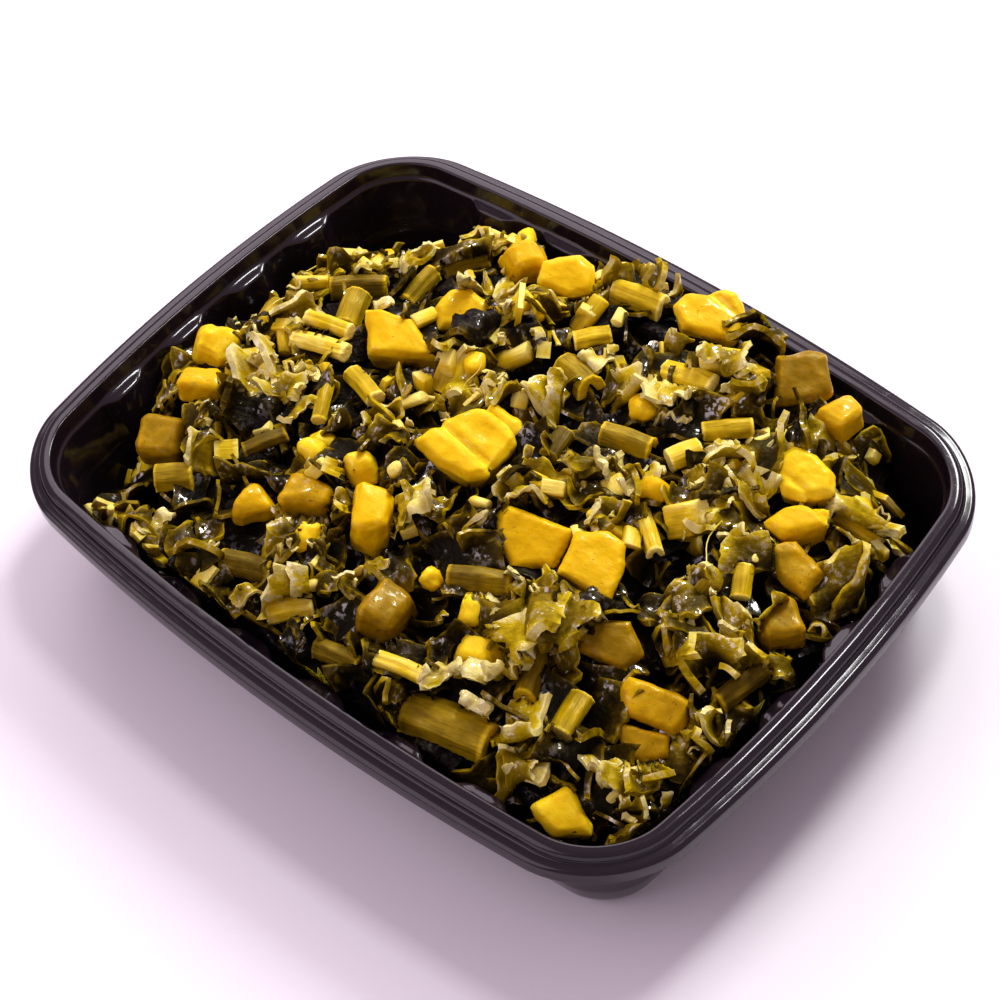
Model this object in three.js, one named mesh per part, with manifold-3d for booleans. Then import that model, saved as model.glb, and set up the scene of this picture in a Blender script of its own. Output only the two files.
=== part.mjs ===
// A black plastic takeaway tray filled with cooked, chopped callaloo and squash chunks.
// Millimetres, +Z up, the origin under the middle of the tray on the surface it stands on.

import * as THREE from 'three';
import { ConvexGeometry } from 'three/addons/geometries/ConvexGeometry.js';
import { mergeVertices } from 'three/addons/utils/BufferGeometryUtils.js';
import Module from 'manifold-3d';

const manifoldLibrary = await Module();
manifoldLibrary.setup();

// Tray outline
const TRAY_LENGTH = 222;
const TRAY_WIDTH = 169.2;
const CORNER_RADIUS = 25;
const SMALLEST_CORNER = 12;
const LONG_SIDE_BOW = 7.6;
const SHORT_SIDE_BOW = 7.05;
const CORNER_STEPS = 5;

// Flutes pressed into the tray's wall
const FLUTE_PITCH = 26;
const LONG_SIDE_FLUTE_REACH = 78;
const SHORT_SIDE_FLUTE_REACH = 52;
const SAMPLES_PER_FLUTE = 4;

// Tray section, from the foot up the outside, over the rim and down the inside.
// Each step is the inset from the outer edge, the height, and how far the flutes stand in there.
const TRAY_SECTION = [
  { name: 'foot', inset: 16.5, height: 0, flute: 0 },
  { name: 'heel', inset: 12.5, height: 4.5, flute: 0 },
  { name: 'outer wall low', inset: 10.6, height: 11.5, flute: 1.2 },
  { name: 'outer wall high', inset: 8.4, height: 32.1, flute: 2.7 },
  { name: 'step underside', inset: 7.2, height: 32.6, flute: 0 },
  { name: 'flange underside, inner', inset: 6.6, height: 37.1, flute: 0 },
  { name: 'flange underside, outer', inset: 4.9, height: 37.1, flute: 0 },
  { name: 'lip underside, inner', inset: 4.1, height: 34.7, flute: 0 },
  { name: 'lip underside, outer', inset: 0.9, height: 34.7, flute: 0 },
  { name: 'skirt foot, inner', inset: 0.9, height: 31.2, flute: 0 },
  { name: 'skirt foot, outer', inset: 0, height: 31.2, flute: 0 },
  { name: 'lip top, outer', inset: 0, height: 35.6, flute: 0 },
  { name: 'lip top, inner', inset: 3.3, height: 35.6, flute: 0 },
  { name: 'flange top, outer', inset: 4.1, height: 38, flute: 0 },
  { name: 'flange top, inner', inset: 7.4, height: 38, flute: 0 },
  { name: 'ledge, outer', inset: 8.3, height: 33.7, flute: 0 },
  { name: 'ledge, inner', inset: 9.3, height: 33, flute: 2.7 },
  { name: 'inner wall low', inset: 11.5, height: 11.5, flute: 1.2 },
  { name: 'inner heel', inset: 13.4, height: 4.5, flute: 0 },
  { name: 'floor edge', inset: 17.4, height: 1, flute: 0 },
];

// Space that the food may fill, clear of the tray's wall and floor
const FOOD_SECTION = [
  { name: 'floor edge', inset: 18, height: 1.4 },
  { name: 'heel', inset: 14, height: 4.9 },
];
const FOOD_EDGE_INSET = 12.6;
const FOOD_CEILING = 75;
const FOOD_OUTLINE_SHARE = 3;

// Heap of food: height at the middle, fall to the edge, gentle rolls, hollows at three corners,
// and a bank that is heaped up against the far long side
const HEAP_CREST = 48;
const HEAP_FALL = 15;
const HEAP_FALL_LIMIT = 1.4;
const HEAP_LOWEST = 12.5;
const HEAP_HALF_LENGTH = 98;
const HEAP_HALF_WIDTH = 72;
const HEAP_ROLL = { height: 1.6, lengthX: 11, phaseX: 0.6, lengthY: 9, phaseY: -0.4 };
const CORNER_HOLLOWS = [
  { x: -88, y: 62, depth: 22, reachX: 25, reachY: 22 },
  { x: -96, y: -50, depth: 18, reachX: 16, reachY: 16 },
  { x: 90, y: 64, depth: 24, reachX: 15, reachY: 14 },
];
const FAR_BANK = { x: 28, y: 62, height: 13, reachX: 42, reachY: 20 };
const CORE_DEPTH = 4.5;
const CORE_SHRINK = 0.3;
const CORE_RING_SCALES = [0.88, 0.7, 0.42];

// How small repeats are scattered, and the scales and turns tried until one clears its neighbours
const SCATTER_STAGGER = 0.25;
const SCATTER_JITTER = 0.62;
const CLEARING_SCALES = [1, 0.75, 0.55];
const CLEARING_TURNS = 12;

// Leaf shreds that stand out of the heap. Lift and arch are in degrees; breadth, blade centre,
// root, tear and wave are shares of the length.
const LEAF_SPACING = 7;
const LEAF_THICKNESS = 0.9;
const LEAF_LENGTH = [15, 20];
const LEAF_BREADTH = [0.6, 0.95];
const LEAF_LIFT = [48, 78];
const LEAF_ARCH = [45, 90];
const LEAF_BLADE_CENTRE = 0.58;
const LEAF_ROOT_HALF = 0.12;
const LEAF_TEETH = 6;
const LEAF_SWEEP = 1.5 * Math.PI;
const LEAF_TEAR = 0.36;
const LEAF_WAVE = 0.09;
const LEAF_ROOT_DEPTH = 7;
const LEAF_ROLL_SPREAD = 0.7;
const LEAF_SEED = 4021;

// Pale dice of stalk core among the leaves
const DICE_SPACING = 26;
const DICE_SIZE = [4.5, 6.5];
const DICE_STRETCH = 1.3;
const DICE_DEPTH = 3;
const DICE_SEED = 733;

// Edges of the joined heap that are shorter than this are closed up
const SHORTEST_EDGE = 0.04;

// Clear gap between separate pieces
const PIECE_GAP = 0.35;

const DEGREE = Math.PI / 180;

// Squash chunks: centre, length x width x height, and turn about Z, Y and X in degrees.
// Ends gives the width of the chunk's two ends and top the length and width of its top, as shares.
// Face is the outline of a knife-cut face, in halves of the chunk's length and width, as it shows
// where the chunk's length runs along the near side.
const CHUNK_SEED = 100;
const CHUNK_BEVEL = 0.14;
const CHUNK_FULLEST = 1.06;
const CHUNK_UNEVENNESS = 0.26;
const CHUNK_FOOT = 0.85;
const NEAR_SIDE = 48;
const PLAIN_ENDS = [1, 1];
const PLAIN_TOP = [0.9, 0.9];
const CHUNKS = [
  { at: [-86, -13, 36], size: [12, 11, 11], turn: [20, 10, 5] },
  {
    at: [-44, 16, 40],
    size: [19, 19, 13],
    turn: [NEAR_SIDE, 0, 12],
    face: [[-0.9, 1], [-0.4, 0.9], [0.4, 0.4], [1, -1], [0.5, -0.9], [-0.5, -0.5], [-1, -0.5]],
  },
  {
    at: [-37, 33, 40],
    size: [15, 13, 12],
    turn: [NEAR_SIDE, 0, 20],
    face: [[-1, 0.3], [-0.3, 1], [0.4, 1], [1, 0], [0.8, -1], [-1, -0.7]],
  },
  { at: [-36, 57, 41.5], size: [14, 12, 11], turn: [60, 0, 10], top: [0.6, 0.8] },
  {
    at: [-21, 57, 42],
    size: [16, 12, 12],
    turn: [NEAR_SIDE, 0, 25],
    face: [[-0.7, 1], [0.6, 1], [1, 0.4], [0.8, -0.9], [0, -1], [-1, 0]],
  },
  {
    at: [22, 65, 46],
    size: [19, 17, 12],
    turn: [NEAR_SIDE, 0, 15],
    face: [[-1, 0.6], [-0.6, 1], [0.5, 0.9], [0.8, 0.7], [1, -0.3], [0.5, -1], [-0.9, -0.2]],
  },
  {
    at: [50, 64, 43],
    size: [16, 14, 13],
    turn: [NEAR_SIDE, 0, 25],
    face: [[-0.6, 1], [0.5, 1], [1, 0.7], [1, -0.8], [0.6, -1], [-1, -0.9]],
  },
  {
    at: [-2, -3, 43.5],
    size: [28, 21, 13],
    turn: [NEAR_SIDE, 0, 10],
    face: [[-1, 0.3], [-0.1, 0.9], [0.6, 1], [1, 0.4], [1, 0], [0.3, -1], [-0.1, -1], [-0.6, -0.5]],
  },
  {
    at: [68.5, 42, 39],
    size: [15, 15, 14],
    turn: [NEAR_SIDE, 0, 15],
    face: [[-1, 0.7], [-0.2, 1], [0.5, 0.6], [1, -0.2], [0.8, -0.9], [-0.2, -1], [-0.9, -0.6]],
  },
  {
    at: [75, 30, 37.5],
    size: [17, 8.5, 10],
    turn: [NEAR_SIDE, 0, 0],
    face: [[-1, 0.2], [-0.3, 1], [0.5, 0.9], [1, 0.4], [1, -0.7], [0.3, -0.9], [-0.6, -1]],
  },
  {
    at: [27, -12, 40],
    size: [19.5, 18, 13],
    turn: [NEAR_SIDE, 0, 30],
    face: [[-0.9, 0.8], [-0.6, 1], [1, 0], [0.4, -1], [-0.7, -0.8], [-1, -0.1]],
  },
  {
    at: [46.5, -13, 43],
    size: [17.5, 20, 9],
    turn: [NEAR_SIDE, 0, 15],
    face: [[-1, 0], [-0.3, 1], [0.6, 0.9], [1, 0.5], [0.9, -0.1], [0.3, -1]],
  },
  { at: [-80, -41, 29], size: [14, 13, 11], turn: [30, 0, 12] },
  {
    at: [77.5, -63, 28],
    size: [14, 13, 12],
    turn: [NEAR_SIDE, 0, 20],
    face: [[-1, 0.4], [0.3, 1], [0.5, 0.9], [1, -0.6], [0.9, -1], [-0.4, -0.8], [-0.8, -0.1]],
  },
  {
    at: [79, -30, 35],
    size: [17, 15.5, 12],
    turn: [NEAR_SIDE, 0, 25],
    face: [[-0.9, 0.7], [-0.6, 1], [0.6, 0.3], [1, -0.1], [0.7, -0.8], [0.4, -1], [-1, -0.1]],
  },
  {
    at: [81.5, -37.5, 32],
    size: [12, 11, 8],
    turn: [NEAR_SIDE, 0, 25],
    face: [[-1, 1], [1, 0], [0.8, -0.9], [-0.2, -1], [-0.9, -0.6]],
  },
  {
    at: [82, 21, 34],
    size: [13, 15, 13],
    turn: [NEAR_SIDE, 0, 25],
    face: [[-0.9, 1], [0.1, 1], [1, -0.2], [0, -1], [-1, 0.1]],
  },
  {
    at: [61, -25, 37.5],
    size: [16, 14, 10],
    turn: [NEAR_SIDE, 0, 25],
    face: [[-1, 0.5], [-0.6, 1], [0.8, 0.8], [1, -0.5], [0.4, -1], [-1, 0]],
  },
  { at: [-8, -33, 43], size: [17, 12, 13], turn: [123, 0, 10], ends: [0.8, 1] },
  { at: [-20, -24, 45], size: [10, 9, 9], turn: [60, 0, 0], top: [0.7, 0.7] },
  { at: [65, 62, 42], size: [12, 10, 10], turn: [75, 0, 10] },
  { at: [13, -51, 41], size: [14, 12, 11], turn: [100, 0, 10] },
  { at: [88.5, 5, 35], size: [12, 12, 10], turn: [60, 0, 0], ends: [0.6, 1] },
  { at: [-26, -38, 42], size: [14, 12, 10], turn: [20, 10, 0], ends: [1, 0.6] },
  { at: [-80, -25, 37], size: [14, 9, 8], turn: [40, 10, 0] },
  { at: [-37, -48, 40], size: [12, 11, 9], turn: [70, 0, 12], ends: [0.5, 1] },
  { at: [38, -46, 39], size: [14, 12, 10], turn: [30, 0, 0], top: [0.7, 0.7] },
];

// Stalk pieces, each bent by a share of its length: centre, length, width, thickness,
// turn about Z and tilt in degrees, and whether the stalk was split open into a channel
const STALK_BEND = 0.05;
const STALK_SIDES = 8;
const CHANNEL_SIDES = 5;
const CHANNEL_WALL = 0.3;
const CHANNEL_CROWN = 0.15;
const STALKS = [
  { at: [-62, 16, 43], length: 11, width: 8, thick: 5, turn: 113, tilt: 8, hollow: true },
  { at: [-58, 0, 45], length: 17, width: 6, thick: 5, turn: 13, tilt: 5, hollow: false },
  { at: [-60.5, 6.2, 46], length: 14, width: 5, thick: 5, turn: 13, tilt: 0, hollow: false },
  { at: [-38, -4, 46], length: 14, width: 6, thick: 5, turn: -17, tilt: 8, hollow: false },
  { at: [-71, 27, 37], length: 16, width: 7, thick: 6, turn: 38, tilt: 0, hollow: true },
  { at: [-43, -14, 46], length: 14, width: 4.5, thick: 4, turn: 123, tilt: 0, hollow: false },
  { at: [50, 4, 45], length: 14, width: 5, thick: 4, turn: -37, tilt: 0, hollow: true },
  { at: [42, -62, 34], length: 23, width: 12, thick: 7, turn: 13, tilt: 0, hollow: true },
  { at: [27, -61, 42], length: 14, width: 5, thick: 4, turn: 10, tilt: 6, hollow: false },
  { at: [26, -31, 44], length: 16, width: 7, thick: 6, turn: 28, tilt: 0, hollow: true },
  { at: [84, 42, 32], length: 15, width: 4.5, thick: 4, turn: -2, tilt: 0, hollow: false },
  { at: [-63, -51, 38], length: 10, width: 8, thick: 6, turn: 40, tilt: 0, hollow: true },
  { at: [76, 7, 42], length: 9, width: 5.5, thick: 4, turn: 120, tilt: 10, hollow: false },
  { at: [30, 45, 50], length: 15, width: 7, thick: 5, turn: 8, tilt: 8, hollow: false },
  { at: [46.5, 39.8, 47], length: 13, width: 6, thick: 4, turn: 43, tilt: 0, hollow: true },
  { at: [43, 27, 46], length: 9, width: 7, thick: 6, turn: 63, tilt: 0, hollow: false },
  { at: [16, 10, 47], length: 9, width: 6, thick: 6, turn: 100, tilt: 0, hollow: false },
  { at: [4, 32, 46], length: 13, width: 9, thick: 6, turn: -17, tilt: 10, hollow: true },
  { at: [-54, 34, 41], length: 13, width: 6, thick: 5, turn: 98, tilt: 0, hollow: true },
  { at: [-54, 52, 33], length: 13, width: 6, thick: 5, turn: 60, tilt: 0, hollow: false },
  { at: [1, 61, 48], length: 15, width: 8, thick: 6, turn: 10, tilt: 0, hollow: true },
  { at: [9, -65, 36], length: 13, width: 6, thick: 5, turn: 10, tilt: 0, hollow: true },
  { at: [-9, -63, 37], length: 12, width: 7, thick: 6, turn: 50, tilt: 0, hollow: false },
  { at: [28, 23, 46], length: 14, width: 7, thick: 5, turn: 13, tilt: 0, hollow: true },
  { at: [-27, -60, 38], length: 14, width: 7, thick: 6, turn: 20, tilt: 0, hollow: true },
  { at: [-47, -32, 44], length: 12, width: 5, thick: 4, turn: 60, tilt: 6, hollow: false },
  { at: [91, -13, 36], length: 15, width: 6, thick: 5, turn: 80, tilt: 0, hollow: true },
  { at: [66, -45, 38], length: 12, width: 7, thick: 6, turn: 103, tilt: 0, hollow: false },
  { at: [52, -42, 41], length: 15, width: 6, thick: 5, turn: 113, tilt: 0, hollow: true },
  { at: [0, 43, 47], length: 10, width: 6, thick: 5, turn: 50, tilt: 0, hollow: false },
];

// Finishes
const finish = (color, roughness) => new THREE.MeshStandardMaterial({ color, roughness, metalness: 0 });
const blackPlastic = finish(0x1d171c, 0.22);
const leafGreen = finish(0x33330c, 0.35);
const squashYellow = finish(0xe0aa10, 0.4);
const stalkOlive = finish(0xa89a2a, 0.4);

// Value at a share of the way through a range
const between = ([low, high], share) => low + (high - low) * share;

// Repeatable random numbers from 0 to 1
function seededRandom(seed) {
  let state = seed >>> 0;
  return () => {
    state = (state + 0x6d2b79f5) >>> 0;
    let value = Math.imul(state ^ (state >>> 15), 1 | state);
    value = (value + Math.imul(value ^ (value >>> 7), 61 | value)) ^ value;
    return ((value ^ (value >>> 14)) >>> 0) / 4294967296;
  };
}

// Share of the full flute depth at a place along a side
function fluteShare(along, reach) {
  return Math.abs(along) < reach ? 0.5 - 0.5 * Math.cos((2 * Math.PI * along) / FLUTE_PITCH) : 0;
}

// Places along a side where its outline is sampled
function sideStations(reach) {
  const step = FLUTE_PITCH / SAMPLES_PER_FLUTE;
  const count = Math.round((2 * reach) / step);
  return Array.from({ length: count + 1 }, (_, index) => -reach + index * step);
}

// Rounded rectangle with bowed sides, set in from the tray's outer edge, as points [x, y]
function outlineAt(inset, flute = 0) {
  const halfLength = TRAY_LENGTH / 2 - inset;
  const halfWidth = TRAY_WIDTH / 2 - inset;
  const radius = Math.max(CORNER_RADIUS - inset, SMALLEST_CORNER);
  const points = [];
  const addCorner = (signX, signY, startAngle) => {
    for (let step = 0; step <= CORNER_STEPS; step += 1) {
      const angle = startAngle + (step / CORNER_STEPS) * (Math.PI / 2);
      const x = signX * (halfLength - radius) + radius * Math.cos(angle);
      const y = signY * (halfWidth - radius) + radius * Math.sin(angle);
      points.push([x, y]);
    }
  };
  const longShare = (halfLength - radius) / (TRAY_LENGTH / 2 - CORNER_RADIUS);
  const shortShare = (halfWidth - radius) / (TRAY_WIDTH / 2 - CORNER_RADIUS);
  const addLongSide = (sign) => {
    for (const along of sideStations(LONG_SIDE_FLUTE_REACH)) {
      const depth = flute * fluteShare(along, LONG_SIDE_FLUTE_REACH);
      points.push([-sign * along * longShare, sign * (halfWidth - depth)]);
    }
  };
  const addShortSide = (sign) => {
    for (const along of sideStations(SHORT_SIDE_FLUTE_REACH)) {
      const depth = flute * fluteShare(along, SHORT_SIDE_FLUTE_REACH);
      points.push([sign * (halfLength - depth), sign * along * shortShare]);
    }
  };
  addShortSide(1);
  addCorner(1, 1, 0);
  addLongSide(1);
  addCorner(-1, 1, Math.PI / 2);
  addShortSide(-1);
  addCorner(-1, -1, Math.PI);
  addLongSide(-1);
  addCorner(1, -1, 1.5 * Math.PI);
  return points.map(([x, y]) => {
    const bowedX = x * (1 - (2 * SHORT_SIDE_BOW / TRAY_LENGTH) * ((2 * y) / TRAY_WIDTH) ** 2);
    const bowedY = y * (1 - (2 * LONG_SIDE_BOW / TRAY_WIDTH) * ((2 * x) / TRAY_LENGTH) ** 2);
    return [bowedX, bowedY];
  });
}

// Closed body through a stack of rings of [x, y, z], with a point at the middle of each end
function bodyThroughRings(rings) {
  const count = rings[0].length;
  const positions = rings.flat(2);
  const middleOf = (ring) => {
    const sum = ring.reduce((total, point) => total.map((value, axis) => value + point[axis]), [0, 0, 0]);
    return sum.map((value) => value / count);
  };
  const firstMiddle = rings.length * count;
  const lastMiddle = firstMiddle + 1;
  positions.push(...middleOf(rings[0]), ...middleOf(rings[rings.length - 1]));
  const index = [];
  for (let ring = 0; ring + 1 < rings.length; ring += 1) {
    for (let step = 0; step < count; step += 1) {
      const here = ring * count + step;
      const next = ring * count + ((step + 1) % count);
      index.push(here, next, next + count, here, next + count, here + count);
    }
  }
  for (let step = 0; step < count; step += 1) {
    const next = (step + 1) % count;
    const lastRing = (rings.length - 1) * count;
    index.push(firstMiddle, next, step, lastMiddle, lastRing + step, lastRing + next);
  }
  const geometry = new THREE.BufferGeometry();
  geometry.setAttribute('position', new THREE.Float32BufferAttribute(positions, 3));
  geometry.setIndex(index);
  return geometry;
}

// Geometry to a solid that can be joined and cut
function toSolid(geometry) {
  const bare = geometry.clone();
  bare.deleteAttribute('normal');
  bare.deleteAttribute('uv');
  const merged = mergeVertices(bare, 1e-4);
  const mesh = new manifoldLibrary.Mesh({
    numProp: 3,
    vertProperties: new Float32Array(merged.attributes.position.array),
    triVerts: new Uint32Array(merged.index.array),
  });
  return new manifoldLibrary.Manifold(mesh);
}

// Solid back to geometry
function toGeometry(solid) {
  const mesh = solid.getMesh();
  const geometry = new THREE.BufferGeometry();
  geometry.setAttribute('position', new THREE.BufferAttribute(new Float32Array(mesh.vertProperties), 3));
  geometry.setIndex(new THREE.BufferAttribute(new Uint32Array(mesh.triVerts), 1));
  return geometry;
}

// Joining leaves some edges far shorter than any real feature: each is drawn together to one point
function withoutShortEdges(geometry, shortest) {
  const position = geometry.attributes.position;
  const point = (vertex) => new THREE.Vector3().fromBufferAttribute(position, vertex);
  const triangles = [];
  const trianglesAt = Array.from({ length: position.count }, () => new Set());
  for (let start = 0; start < geometry.index.count; start += 3) {
    const triangle = [0, 1, 2].map((corner) => geometry.index.getX(start + corner));
    triangle.forEach((vertex) => trianglesAt[vertex].add(triangles.length));
    triangles.push(triangle);
  }
  const neighboursOf = (vertex) => {
    const found = new Set([...trianglesAt[vertex]].flatMap((number) => triangles[number]));
    found.delete(vertex);
    return found;
  };
  const drawTogether = (kept, dropped) => {
    const around = neighboursOf(dropped);
    const shared = [...neighboursOf(kept)].filter((vertex) => around.has(vertex));
    if (!around.has(kept) || shared.length !== 2) return;
    for (const number of trianglesAt[dropped]) {
      const triangle = triangles[number];
      if (triangle.includes(kept)) {
        triangle.forEach((vertex) => vertex !== dropped && trianglesAt[vertex].delete(number));
        triangles[number] = [];
      } else {
        triangle[triangle.indexOf(dropped)] = kept;
        trianglesAt[kept].add(number);
      }
    }
    trianglesAt[dropped].clear();
  };
  for (let vertex = 0; vertex < position.count; vertex += 1) {
    for (const other of neighboursOf(vertex)) {
      if (point(vertex).distanceTo(point(other)) < shortest) drawTogether(vertex, other);
    }
  }
  geometry.setIndex(triangles.flat());
  return geometry;
}

// Height of the heap's surface over a place in the tray
function heapHeight(x, y) {
  const reach = Math.abs(x / HEAP_HALF_LENGTH) ** 3 + Math.abs(y / HEAP_HALF_WIDTH) ** 3;
  const nearness = (spot) =>
    Math.exp(-(((x - spot.x) / spot.reachX) ** 2) - ((y - spot.y) / spot.reachY) ** 2);
  let height = HEAP_CREST - HEAP_FALL * Math.min(reach, HEAP_FALL_LIMIT);
  height += FAR_BANK.height * nearness(FAR_BANK);
  for (const hollow of CORNER_HOLLOWS) height -= hollow.depth * nearness(hollow);
  const roll = Math.sin(x / HEAP_ROLL.lengthX + HEAP_ROLL.phaseX)
    * Math.cos(y / HEAP_ROLL.lengthY + HEAP_ROLL.phaseY);
  return Math.max(height + HEAP_ROLL.height * roll, HEAP_LOWEST);
}

// Tray: one thin shell with a stepped rim and a fluted wall
function trayGeometry() {
  const rings = TRAY_SECTION.map(({ inset, height, flute }) =>
    outlineAt(inset, flute).map(([x, y]) => [x, y, height]));
  return bodyThroughRings(rings);
}

// Rings of the food's outer boundary, up to the height where its top begins
function foodBoundaryRings(topHeight, shrink = 0) {
  const thinned = (points) => points.filter((_, index) => index % FOOD_OUTLINE_SHARE === 0);
  const rings = FOOD_SECTION.map(({ inset, height }) =>
    thinned(outlineAt(inset + shrink)).map(([x, y]) => [x, y, height + shrink]));
  rings.push(thinned(outlineAt(FOOD_EDGE_INSET + shrink)).map(([x, y]) => [x, y, topHeight(x, y)]));
  return rings;
}

// Dense inside of the heap that everything else is rooted in
function heapCore() {
  const coreHeight = (x, y) => heapHeight(x, y) - CORE_DEPTH;
  const rings = foodBoundaryRings(coreHeight, CORE_SHRINK);
  const edge = rings[rings.length - 1];
  for (const scale of CORE_RING_SCALES) {
    rings.push(edge.map(([x, y]) => [x * scale, y * scale, coreHeight(x * scale, y * scale)]));
  }
  return toSolid(bodyThroughRings(rings));
}

// Space inside the tray that no leaf may leave
function foodSpace() {
  return toSolid(bodyThroughRings(foodBoundaryRings(() => FOOD_CEILING)));
}

// One torn, waved leaf shred that rises along +X and arches over, its narrow root at the origin
function leafShredGeometry(random) {
  const length = between(LEAF_LENGTH, random());
  const width = length * between(LEAF_BREADTH, random());
  const lift = between(LEAF_LIFT, random()) * DEGREE;
  const arch = between(LEAF_ARCH, random()) * DEGREE;
  const wave = LEAF_WAVE * length;
  const rim = [[0, LEAF_ROOT_HALF, 0], [0, -LEAF_ROOT_HALF, 0]];
  for (let tooth = 0; tooth < LEAF_TEETH; tooth += 1) {
    const angle = ((tooth + 0.5) / LEAF_TEETH - 0.5) * LEAF_SWEEP;
    const reach = 1 + LEAF_TEAR * (random() - 0.5);
    const rise = (tooth % 2 === 0 ? wave : -wave) * (0.5 + random());
    const along = LEAF_BLADE_CENTRE + (1 - LEAF_BLADE_CENTRE) * reach * Math.cos(angle);
    rim.push([along, (reach / 2) * Math.sin(angle), rise]);
  }
  const bent = ([along, across, rise], lowered) => {
    const angle = lift - 0.5 * arch * along;
    const height = rise - lowered;
    const x = along * length * Math.cos(angle) - height * Math.sin(angle);
    const z = along * length * Math.sin(angle) + height * Math.cos(angle);
    return [x, across * width, z];
  };
  const face = [[0.5, 0, wave], ...rim];
  return fanSlab(face.map((point) => bent(point, 0)), face.map((point) => bent(point, LEAF_THICKNESS)));
}

// Thin slab between two faces, each the same fan of triangles about its first point
function fanSlab(face, underside) {
  const rimCount = face.length - 1;
  const below = face.length;
  const index = [];
  for (let step = 0; step < rimCount; step += 1) {
    const here = 1 + step;
    const next = 1 + ((step + 1) % rimCount);
    index.push(0, here, next, below, below + next, below + here);
    index.push(here, here + below, next + below, here, next + below, next);
  }
  const geometry = new THREE.BufferGeometry();
  geometry.setAttribute('position', new THREE.Float32BufferAttribute([...face, ...underside].flat(), 3));
  geometry.setIndex(index);
  return geometry;
}

// Seeded places on a jittered grid over the heap
function scatter(spacing, seed) {
  const random = seededRandom(seed);
  const places = [];
  const columns = Math.floor(HEAP_HALF_LENGTH / spacing);
  const rows = Math.floor(HEAP_HALF_WIDTH / spacing);
  for (let row = -rows; row <= rows; row += 1) {
    for (let column = -columns; column <= columns; column += 1) {
      const stagger = row % 2 === 0 ? SCATTER_STAGGER : -SCATTER_STAGGER;
      const x = (column + stagger + SCATTER_JITTER * (random() - 0.5)) * spacing;
      const y = (row + SCATTER_JITTER * (random() - 0.5)) * spacing;
      places.push({ x, y, random });
    }
  }
  return places;
}

// Leaf shreds of the heap, each with its place and turn
function leafShreds() {
  return scatter(LEAF_SPACING, LEAF_SEED).map(({ x, y, random }) => {
    const geometry = leafShredGeometry(random);
    geometry.rotateX(LEAF_ROLL_SPREAD * (random() - 0.5));
    return { geometry, at: [x, y, heapHeight(x, y) - LEAF_ROOT_DEPTH], turn: 2 * Math.PI * random() };
  });
}

// Small dice of stalk core, each with its place and turn
function paleDice() {
  return scatter(DICE_SPACING, DICE_SEED).map(({ x, y, random }) => {
    const size = between(DICE_SIZE, random());
    const geometry = new THREE.BoxGeometry(size * DICE_STRETCH, size, size);
    geometry.rotateX(random() * Math.PI);
    return { geometry, at: [x, y, heapHeight(x, y) - DICE_DEPTH], turn: 2 * Math.PI * random() };
  });
}

// One piece as a solid, turned or made smaller until it crosses nothing, or null
function clearSolid({ geometry, at, turn }, taken, space) {
  for (const scale of CLEARING_SCALES) {
    for (let attempt = 0; attempt < CLEARING_TURNS; attempt += 1) {
      const placed = geometry.clone();
      placed.scale(scale, scale, 1);
      placed.rotateZ(turn + (attempt * 2 * Math.PI) / CLEARING_TURNS);
      placed.translate(...at);
      const solid = toSolid(placed);
      const crosses = taken.intersect(solid).volume() > 0 || solid.subtract(space).volume() > 0;
      if (!crosses) return solid;
    }
  }
  return null;
}

// Solids of small pieces that keep clear of the sockets, the tray and each other
function clearSolids(pieces, sockets, space) {
  const solids = [];
  let taken = sockets;
  for (const piece of pieces) {
    const solid = clearSolid(piece, taken, space);
    if (solid) {
      taken = taken.add(solid);
      solids.push(solid);
    }
  }
  return solids;
}

// Corners of a chunk with an outlined face: its edge is bevelled and its sides draw in below
function facedCorners({ size, face }) {
  const [halfLength, halfWidth, halfHeight] = size.map((side) => side / 2);
  const bevel = CHUNK_BEVEL * size[2];
  const inset = 1 - bevel / Math.min(halfLength, halfWidth);
  const rings = [
    [halfHeight, inset],
    [halfHeight - bevel, 1],
    [bevel - halfHeight, CHUNK_FOOT],
    [-halfHeight, CHUNK_FOOT * inset],
  ];
  return rings.flatMap(([z, share]) =>
    face.map(([u, v]) => new THREE.Vector3(u * halfLength * share, v * halfWidth * share, z)));
}

// Corners of a plain chunk: a tapered block with uneven corners and bevelled edges
function blockCorners({ size, ends = PLAIN_ENDS, top = PLAIN_TOP }, number) {
  const random = seededRandom(CHUNK_SEED + number);
  const bevel = CHUNK_BEVEL * Math.min(...size);
  const points = [];
  for (let corner = 0; corner < 8; corner += 1) {
    const signs = [corner & 1 ? 1 : -1, corner & 2 ? 1 : -1, corner & 4 ? 1 : -1];
    const [topLength, topWidth] = signs[2] > 0 ? top : [1, 1];
    const taper = [topLength, topWidth * ends[signs[0] > 0 ? 1 : 0], 1];
    const squeeze = taper.map((share) => share * (CHUNK_FULLEST - CHUNK_UNEVENNESS * random()));
    for (let axis = 0; axis < 3; axis += 1) {
      const point = signs.map((sign, direction) => {
        const half = (size[direction] / 2) * squeeze[direction];
        return sign * (direction === axis ? half : half - bevel);
      });
      points.push(new THREE.Vector3(...point));
    }
  }
  return points;
}

// Chunk of squash cut with a knife
function chunkGeometry(chunk, number) {
  const { at, turn, face } = chunk;
  const geometry = new ConvexGeometry(face ? facedCorners(chunk) : blockCorners(chunk, number));
  geometry.rotateX(turn[2] * DEGREE);
  geometry.rotateY(turn[1] * DEGREE);
  geometry.rotateZ(turn[0] * DEGREE);
  geometry.translate(...at);
  return geometry;
}

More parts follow.
